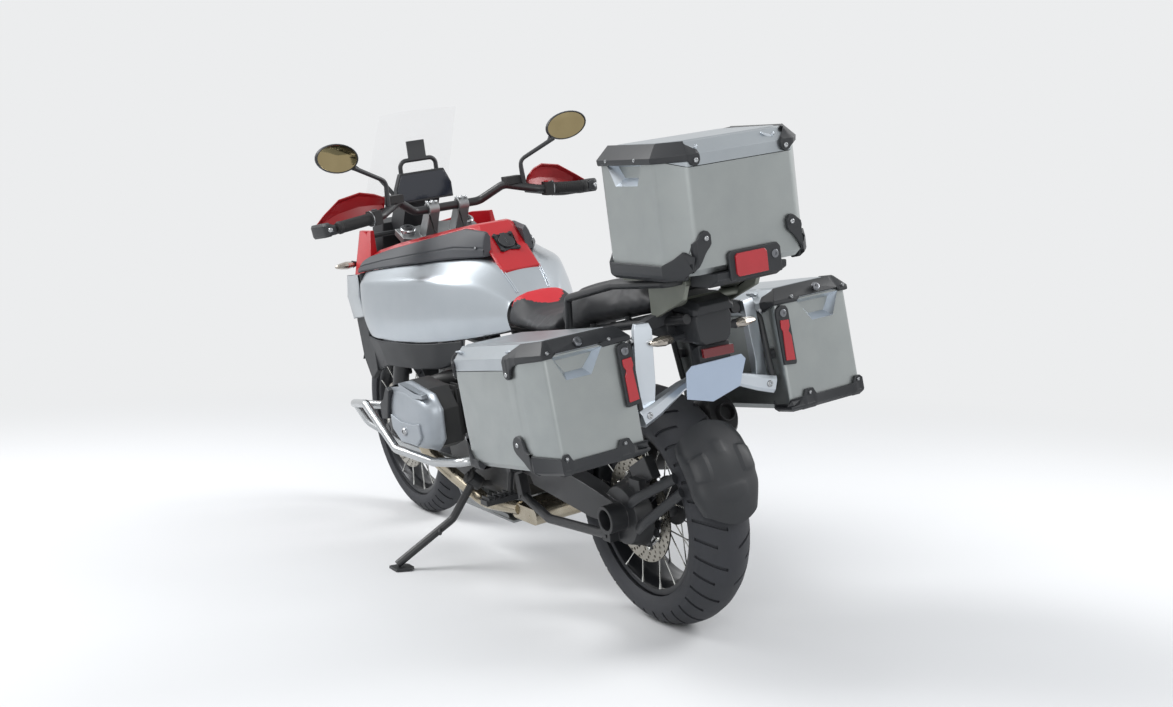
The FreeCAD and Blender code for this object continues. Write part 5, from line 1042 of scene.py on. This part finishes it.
def make_seats():
    fill_pad("rider_pad", "rider_seat", RIDER_SEAT, ("seat_vinyl", "seat_red"), on_red_panel)
    fill_pad("pillion_pad", "pillion_seat", PILLION_SEAT, ("seat_vinyl",), lambda spot: 0)


# Red cover over the tank's crest: x, half width of its top, height, half width and height of its foot
COVER_ROWS = [(598, 58, 912.8, 62, 905), (740, 50, 1041, 66, 1030), (770, 58, 1042, 76, 1035),
    (880, 112, 1026, 138, 1015)]
HORN_ROWS = [(862, 96, 1029, 130, 1019), (1060, 166, 998, 196, 985), (1150, 202, 978, 229, 964),
    (1172, 206, 964, 226, 954)]
FILLER = Matrix.Translation((676, 0, 983.2)) @ Matrix.Rotation(-math.atan2(65, 72), 4, "Y")
WELL_RADIUS = 27


def across(x, half):
    """A row across the bike from the points of its left half."""
    return [(x, y, z) for y, z in half] + [(x, -y, z) for y, z in reversed(half)]


def make_cover():
    """Cover with its filler well, and the horns that run forward beside the bars."""
    hood = loft([across(x, [(foot - 4, low - 12), (foot, low), (top, z)])
        for x, top, z, foot, low in COVER_ROWS])
    bmesh.ops.recalc_face_normals(hood, faces=hood.faces)
    rim = [polar(WELL_RADIUS, math.pi / 8 * step) for step in range(16)]
    well, facing = cut_out(hood, lambda u, v, inward: FILLER @ Vector((u, v, -inward)), 0, rim)
    bmesh.ops.inset_individual(hood, faces=[well], thickness=0.4, depth=-11 if well.normal.dot(facing) > 0
        else 11)
    parts = [hood]
    for side in (1, -1):
        parts.append(loft([[(x, side * y, h) for y, h in ((top - 22, z - 16), (foot - 3, low - 12),
            (foot, low), (top, z), (top - 20, z - 1))] for x, top, z, foot, low in HORN_ROWS]))
    parts.append(loft([across(876, [(120, 1000), (104, 1025)]), across(975, [(150, 982), (136, 1005)])]))
    finish_mesh("cover_shell", join(parts), "tank_cover", "red_moulding", bevel=2.5, segments=3,
        whole=True)


# Tank pads: x, then half width and height of the lower and the upper edge
PAD_ROWS = [(666, (78, 953), (61, 1022)), (672, (82, 953), (63, 1026)), (770, (144, 953), (77, 1034)),
    (880, (201, 947), (139, 1014)), (1060, (247, 931), (197, 984)), (1160, (266, 920), (228, 962)),
    (1186, (270, 915), (236, 952))]
# Across a pad: share of the way up, and how far it stands out
PAD_ACROSS = [(0, 0), (0.03, 5), (0.27, 9), (0.3, 6), (0.34, 6), (0.37, 9), (0.7, 9), (0.94, 5), (1, -1)]


def make_pads():
    rows = []
    for x, low, high in PAD_ROWS:
        low, high = Vector((x, *low)), Vector((x, *high))
        out = Vector((0, (high - low).z, (low - high).y)).normalized()
        row = [low.lerp(high, share) + out * lift for share, lift in PAD_ACROSS]
        rows.append(row + [high + Vector((0, -8, -12)), low + Vector((0, -20, 1))])
    finish_mesh("pad_shell", loft(rows), "tank_pads", "pad_rubber", bevel=1.2, sharp=30, double=True,
        whole=True)
    finish_mesh("pad_screw", screw((692, 95, 982), (0.1, 0.93, 0.37), 4), "tank_pads", "screw_steel",
        double=True)


# Tail: x, then the left half of each row from its foot up
LAMP_BOX = [(-196, ((40, 792), (60, 808), (66, 850), (50, 866))),
            (-250, ((38, 778), (56, 794), (66, 846), (54, 866))),
            (-322, ((34, 771), (48, 784), (58, 842), (50, 862))),
            (-337, ((30, 777), (43, 789), (50, 836), (44, 852)))]
LAMP_CAP = [(-150, ((62, 862), (66, 874), (46, 890))), (-290, ((64, 858), (66, 876), (48, 891))),
            (-338, ((58, 850), (58, 864), (44, 880))), (-348, ((50, 852), (50, 860), (40, 870)))]
# Turn signals: name, x, root and tip across the bike, height
SIGNALS = (("rear", -286, 40, 152, 800), ("front", 1330, 180, 290, 930))
# A signal's lens: share of its length, share of its size
LENS_ROWS = ((0.0, 0.55), (0.12, 0.8), (0.38, 1.0), (0.7, 0.82), (0.94, 0.5), (1.0, 0.3))


def make_tail():
    """Lamp housing below its cap, side arms, plate and reflector, and the turn signals."""
    parts = [loft([across(x, half) for x, half in rows]) for rows in (LAMP_BOX, LAMP_CAP)]
    parts.append(slab([(-120, 808), (-120, 836), (-236, 850), (-262, 846), (-262, 796), (-200, 798)], -84,
        84, "Y"))
    parts.append(slab([(-286, 780), (-326, 776), (-326, 736), (-304, 700), (-290, 704), (-296, 764)], -44,
        44, "Y"))
    for side in (1, -1):
        parts.append(loft([[(-232, side * 60, 834), (-262, side * 60, 834), (-262, side * 60, 872),
            (-232, side * 60, 872)], [(-228, side * 142, 818), (-256, side * 142, 818),
            (-256, side * 142, 846), (-228, side * 142, 846)]]))
    finish_mesh("tail_housing", join(parts), "tail_unit", "black_moulding", bevel=2.4, segments=3,
        whole=True)
    finish_mesh("tail_reflector", slab([(-43, 745), (43, 748), (44, 770), (-43, 767)], -344, -334, "X"),
        "tail_unit", "dark_reflector", bevel=1.5)
    slope = Matrix.Translation((-330, 0, 734)) @ Matrix.Rotation(math.radians(72), 4, "Y")
    plate = moved(slab([(0, -72), (0, 72), (15, 86), (86, 77), (110, 0), (86, -77), (15, -86)], 0, 3),
        slope)
    finish_mesh("blank_plate", plate, "number_plate", "plate_paint", bevel=0.8, whole=True)
    for name, x, root, tip, z in SIGNALS:
        lens = []
        for share, size in LENS_ROWS:
            lens.append([(x + 20 * size * a, tip - 62 + 62 * share, z + 13 * size * b)
                for a, b in (polar(1, math.pi / 5 * step) for step in range(10))])
        finish_mesh("signal_lens_" + name, loft(lens), "indicators", "signal_lens", sharp=12, double=True,
            whole=True)
        stalk = bar([(x, root, z), (x, tip - 70, z), (x, tip - 58, z)], [8, 8, 12], sides=14)
        finish_mesh("signal_stalk_" + name, stalk, "indicators", "black_moulding", double=True)


def make_carriers():
    """Case carriers: tube loops, tapered struts, cast lower arms with their bolts and pucks."""
    loops = [bar([(-243, 142, 822), (-250, 194, 800), (-280, 194, 636), (120, 194, 588), (160, 194, 740),
        (132, 104, 776)], 8, bend=16, sides=14)]
    loops += [bar([(x, 196, z), (x, 213, z)], 14, sides=18) for x, z in ((-262, 700), (132, 664))]
    finish_mesh("carrier_loops", join(loops), "case_carriers", "powder_coat", double=True,
        whole=True)
    strut = loft([[(-270, 150, 636), (-258, 194, 632), (-248, 190, 632), (-250, 154, 636)],
        [(-282, 146, 700), (-262, 188, 700), (-250, 184, 700), (-252, 148, 700)],
        [(-276, 134, 830), (-262, 176, 834), (-248, 174, 834), (-250, 138, 830)],
        [(-268, 136, 846), (-262, 170, 848), (-248, 168, 848), (-250, 138, 846)]])
    flat = [(0.55, 0.9), (-0.55, 0.9), (-0.8, 0.5), (-0.8, -0.5), (-0.55, -0.9), (0.55, -0.9),
        (0.8, -0.5), (0.8, 0.5)]
    arm = bar([(-272, 196, 628), (-268, 150, 642), (-252, 60, 674), (-248, 0, 686)], [24, 22, 14, 12],
        shape=flat)
    parts = [strut, arm, tint(screw((-288, 176, 634), (-1, 0, 0), 9), 1),
        tint(screw((-266, 186, 812), (-1, 0, 0), 5), 1)]
    # struts and arms in aluminium painted lighter as a painted highlight
    finish_mesh("carrier_struts", join(parts), "case_carriers", ("bright_aluminium", "screw_steel"),
        sharp=28, bevel=1.2, double=True)


# Left grip: its inner and outer end
GRIP_START, GRIP_END = Vector((926, 268, 1100)), Vector((901, 418, 1088))
# The fork's direction, and where its axis meets the ground
FORK_RUN, FORK_FOOT = Vector((-0.4415, 0, 0.8973)), 1646
# How far up that line the sliders' tops and the top yoke are
SLIDER_TOP, YOKE_LEVEL = 716, 1112
# Left hand shield: x, y, lower and upper edge
SHIELD_ROWS = ((962, 246, 1108, 1150), (978, 271.68, 1098, 1164), (992, 310.2, 1090, 1174),
               (1002, 374.4, 1080, 1162), (997, 430.04, 1078, 1124), (988, 460, 1078, 1100))
# Left mirror: the middle of its glass and its facing
MIRROR_MIDDLE, MIRROR_FACING = Vector((912, 384, 1284)), Vector((-1, -0.12, -0.10)).normalized()
# Mirror housing: depth behind the glass, share of the outline
MIRROR_RINGS = [(0.8, 0.93), (-2.6, 0.945), (-3, 0.99), (2, 1.03), (10, 0.99), (19, 0.8), (27, 0.5),
    (31, 0.2)]


def mirror_ring(depth, share):
    right = MIRROR_FACING.cross(Vector((0, 0, 1))).normalized()
    up = right.cross(MIRROR_FACING)
    ring = []
    for step in range(32):
        a, b = polar(1, FULL * step / 32)
        wide, high = 68 * a, 42 * b + 6 * a
        ring.append(MIRROR_MIDDLE - MIRROR_FACING * depth + (right * wide + up * high) * share)
    return ring


def make_grips():
    """Ribbed grips with their switch blocks, levers, fluid boxes and rings."""
    grip = aim(GRIP_START, GRIP_END - GRIP_START)
    ribs = []
    for step in range(15):
        low = 46 + step * 6.4
        ribs += [(17.9, low), (17.9, low + 4.4), (16.9, low + 5), (16.9, low + 5.8)]
    sleeve = [(13.5, 16), (20, 16), (20, 38), (23, 40), (23, 45)] + ribs
    sleeve += [(19, 143), (19, 152), (16, 154), (16, 158), (0, 158)]
    reach = Vector((62, 0, -12))
    perch = GRIP_START.lerp(GRIP_END, 0.2)
    lever = bar([perch + Vector((48, -4, -8)), GRIP_START.lerp(GRIP_END, 0.4) + reach,
        GRIP_START.lerp(GRIP_END, 0.98) + reach + Vector((-14, 0, -4))], [9, 7.5, 7, 7, 7, 6.5, 6.5],
        bend=30)
    block = moved(brick(-23, 24, -21, 21, 14, 40), grip)
    buttons = [tint(moved(brick(-9, 9, 20, 25, 18, 27), grip), 1),
        tint(moved(brick(-27, -20, -8, 8, 20, 34), grip), 1)]
    box = slab([(962, 176), (1012, 182), (1008, 236), (958, 232)], 1126, 1150)
    arm = bar([perch, perch + Vector((52, -4, -6))], [14, 11], sides=16)
    for side, name in ((Matrix.Identity(4), "left"), (FLIP, "right")):
        node = "bar_controls_" + name
        accent = "red_moulding" if name == "right" else "pad_rubber"
        solid = [turned(sleeve, 28, grip)] + [part.copy() for part in (block, *buttons, box, arm)]
        finish_mesh("controls_" + name, moved(join(solid), side), node, ("grip_rubber", accent),
            bevel=1.0, whole=True)
        finish_mesh("lever_" + name, moved(lever.copy(), side), "handlebar", "powder_coat")
        ring = turned([(23.4, 39.6), (24, 40), (24, 42), (23.4, 42.4)], 28, grip)
        finish_mesh("grip_ring_" + name, moved(ring, side), "handlebar", "screw_steel")


def make_shields():
    """Hand shields on the flat bows that run round the grips."""
    rows = []
    for x, y, low, high in SHIELD_ROWS:
        rows.append([(x, y, low), (x + 9, y, (low + high) / 2), (x - 4, y, high - 6),
            (x - 22, y, high + 2), (x - 23, y, high - 2), (x - 8, y, high - 10),
            (x + 4, y, (low + high) / 2), (x - 5, y, low + 2)])
    finish_mesh("shield_shell", loft(rows), "handguards", "red_shield", sharp=28, bevel=1.2, double=True,
        whole=True)
    blade = [(0.42, 0.9), (-0.42, 0.9), (-0.6, 0.6), (-0.6, -0.6), (-0.42, -0.9), (0.42, -0.9),
        (0.6, -0.6), (0.6, 0.6)]
    end = GRIP_START.lerp(GRIP_END, 1.06)
    bow = [end, end + Vector((0, 22, 0)), (996, 458, 1080), (1008, 380, 1076), (996, 256, 1104)]
    sizes = [12, 16, 19, 21, 22, 23, 23, 23, 23, 22, 20, 18, 17, 16, 16, 15, 14]
    bows = [bar(bow, sizes, bend=22, shape=blade), bar([(996, 258, 1108), (956, 249, 1112)], 8),
        tint(screw(end + Vector((-12, 20, 0)), (-1, 0.2, 0), 7), 1)]
    finish_mesh("shield_bows", join(bows), "handguards", ("black_moulding", "screw_steel"),
        bevel=0.8, double=True)


def make_mirrors():
    heads = [loft([mirror_ring(depth, share) for depth, share in MIRROR_RINGS])]
    heads += [bar([(958, 232, 1113), (956, 228, 1196), (916, 336, 1250)], [9, 7, 6.5, 6.5, 6.5, 6.5, 7],
        bend=18), bar([(922, 322, 1244), (936, 346, 1262), (938, 366, 1276)], [7, 12, 16], sides=14)]
    finish_mesh("mirror_heads", join(heads), "mirrors", "black_moulding", sharp=40, double=True,
        whole=True)
    glass = loft([mirror_ring(-0.4, 0.9), mirror_ring(-0.9, 0.93), mirror_ring(0.6, 0.93)])
    finish_mesh("mirror_glass", glass, "mirrors", "mirror_gold", double=True)


def make_cockpit():
    """Yoke screws and caps, bright fork tubes, the display's glass and the lamps' glasses."""
    clamps = [screw((1048 + ahead, 51 + aside, 1109), (0, 0, 1), 5) for ahead in (-15, 15)
        for aside in (-9, 9)]
    leg = aim((1140, 102, 1028), FORK_RUN)
    cap = turned([(24.5, -20), (24.5, 2), (22, 5), (16, 5), (16, -20)], 32, leg)
    finish_mesh("clamp_screws", join(clamps + [cap]), "top_yoke", "screw_steel", double=True)
    finish_mesh("leg_caps", turned([(15.6, -10), (15.6, 5), (13, 9), (6, 9), (5, 6), (0, 6)], 24, leg),
        "top_yoke", "black_moulding", double=True)
    glass = slab([(-92, 1110), (92, 1110), (94, 1114), (93, 1150), (74, 1192), (-74, 1192), (-93, 1150),
        (-94, 1114)], 1197.4, 1201, "X")
    finish_mesh("display_glass", glass, "cockpit_frame", "gloss_black", bevel=1.4)
    tube = bar([Vector((FORK_FOOT, 102, 0)) + FORK_RUN * height for height in (SLIDER_TOP, YOKE_LEVEL)],
        21.4, sides=28)
    finish_mesh("stanchions", tube, "fork", "spoke_steel", double=True)
    lamps = [turned([(0, 1), (30, 0), (33, -2), (33, -12), (0, -12)], 28,
        aim((1479, side * 46, 980), (1, 0, 0))) for side in (1, -1)]
    finish_mesh("lamp_glass", join(lamps), "headlight", "signal_lens", sharp=25)


# Left valve cover: outline at the cylinder, and of the dome's top, as x and z
HEAD_BASE = [(612, 470), (668, 428), (838, 424), (918, 470), (924, 560), (880, 606), (800, 622),
    (640, 600), (604, 560)]
HEAD_TOP = [(656, 486), (690, 456), (820, 452), (874, 486), (880, 546), (846, 580), (786, 592),
    (672, 574), (650, 546)]


def make_heads():
    """Domed valve covers with their rim, lower guard plate, plug and rubber block."""
    rows = []
    for share, y in ((0, 303), (0, 312), (0.05, 330), (0.4, 346), (1, 359)):
        ring = [Vector(low).lerp(Vector(high), share) for low, high in zip(HEAD_BASE, HEAD_TOP)]
        rows.append([(spot.x, y, spot.y) for spot in ring])
    dome = loft(rows)
    crease(dome, lambda edge: all(vert.co.y < 313 for vert in edge.verts), 0.9)
    crease(dome, lambda edge: all(abs(vert.co.y - 346) < 1 for vert in edge.verts), 0.3)
    finish_mesh("head_domes", dome, "head_covers", "cover_paint", sharp=60, levels=2, double=True,
        whole=True)
    plate = slab([(664, 478), (700, 450), (812, 446), (866, 480), (868, 524), (800, 510), (712, 512),
        (668, 520)], 350, 363, "Y")
    rib = slab([(640, 592), (690, 604), (800, 612), (860, 596), (880, 570), (886, 582), (866, 604),
        (800, 622), (640, 604)], 330, 350, "Y")
    parts = [plate, rib, tint(screw((770, 364, 484), (0, 1, 0), 13), 1)]
    finish_mesh("head_guards", join(parts), "head_covers", ("cover_paint", "screw_steel"), bevel=4,
        segments=3, double=True)
    block = slab([(846, 596), (868, 606), (900, 566), (934, 548), (930, 500), (886, 506), (872, 540)],
        330, 366, "Y")
    finish_mesh("head_blocks", block, "head_covers", "black_moulding", bevel=4, segments=3,
        double=True)


def make_silencer():
    """Oval silencer with a rounded end cap and its tail pipe."""
    start, end = Vector((262, -148, 376)), Vector((-112, -152, 540))
    oval = [(a, 1.29 * b) for a, b in (polar(1, math.pi / 16 * step) for step in range(32))]
    shares, sizes = (0, 0.05, 0.16, 0.86, 0.88, 0.9, 0.97, 1), [28, 42, 50, 50.5, 48.5, 50.5, 47, 40]
    shell = bar([start.lerp(end, share) for share in shares], sizes, shape=oval)
    pipe = turned([(24, -6), (24, 20), (20.5, 20.5), (20, -14), (0, -14)], 32, aim(end, end - start))
    lug = slab([(236, 390), (264, 390), (270, 474), (250, 474)], -158, -148, "Y")
    finish_mesh("silencer_shell", join([shell, pipe, lug]), "silencer", "silencer_coat", bevel=1.0,
        whole=True)


def dress_frame():
    for node, (finish, bevel) in SOFTENED.items():
        soften(node, finish, bevel)
    for finish, nodes in REFINISHED.items():
        for node in nodes:
            for held in frame["nodes"][node].material_slots:
                held.material = FINISHES[finish]


def fade_seen(tree):
    """Where the camera and clear reflections look, which alone see the plain surround."""
    path = add_node(tree, "ShaderNodeLightPath")
    either = path.outputs["Is Camera Ray"]
    for ray in ("Is Glossy Ray", "Is Transmission Ray"):
        either = add_node(tree, "ShaderNodeMath", {0: either, 1: path.outputs[ray]},
            operation="MAXIMUM").outputs[0]
    return either


def lay_floor():
    """Plain pale floor that fades into a bright even surround."""
    bm = bmesh.new()
    bmesh.ops.create_grid(bm, x_segments=8, y_segments=8, size=40)
    floor = link_mesh("floor", bm)
    floor.location.z = -0.0005
    material = surface("floor_paint", "#DCDDDE", "#D8D9DA", 0.8, 0.03, 0, 6, 0.05, 0, 900)
    tree = material.node_tree
    output, shader, place = [next(one for one in tree.nodes if one.type == kind)
        for kind in ("OUTPUT_MATERIAL", "BSDF_PRINCIPLED", "TEX_COORD")]
    far = add_node(tree, "ShaderNodeVectorMath", {0: place.outputs["Object"]}, operation="LENGTH")
    ramp = add_node(tree, "ShaderNodeMapRange", {"Value": far.outputs["Value"]},
        interpolation_type="SMOOTHSTEP", From_Min=FADE_START, From_Max=FADE_END)
    seen = fade_seen(tree)
    share = add_node(tree, "ShaderNodeMath", {0: ramp.outputs[0], 1: seen}, operation="MULTIPLY")
    glow = add_node(tree, "ShaderNodeEmission", Color=paint(SURROUND), Strength=1.0)
    mixed = add_node(tree, "ShaderNodeMixShader", {0: share.outputs[0], 1: shader.outputs[0],
        2: glow.outputs[0]})
    tree.links.new(mixed.outputs[0], output.inputs["Surface"])
    floor.data.materials.append(material)
    world = bpy.data.worlds.new("surround")
    bpy.context.scene.world = world
    world.use_nodes = True
    tree = world.node_tree
    tree.nodes.clear()
    bright = add_node(tree, "ShaderNodeBackground", Color=paint(SURROUND), Strength=1.0)
    light = add_node(tree, "ShaderNodeBackground", Color=paint("#F2F5FA"), Strength=0.55)
    mixed = add_node(tree, "ShaderNodeMixShader", {0: fade_seen(tree), 1: light.outputs[0],
        2: bright.outputs[0]})
    add_node(tree, "ShaderNodeOutputWorld", {"Surface": mixed.outputs[0]})


place_camera()
lay_floor()
for lamp_name, lamp_row in SOFTBOXES.items():
    softbox(lamp_name, *lamp_row)
bpy.context.scene.view_settings.view_transform = "Standard"

dress_frame()
make_side_case("left", CASE_LEFT)
make_side_case("right", FLIP @ CASE_LEFT)
make_top_case()
make_tank()
make_seats()
make_wheels()
make_hugger()
make_cover()
make_pads()
make_tail()
make_carriers()
make_grips()
make_shields()
make_mirrors()
make_cockpit()
make_heads()
make_silencer()
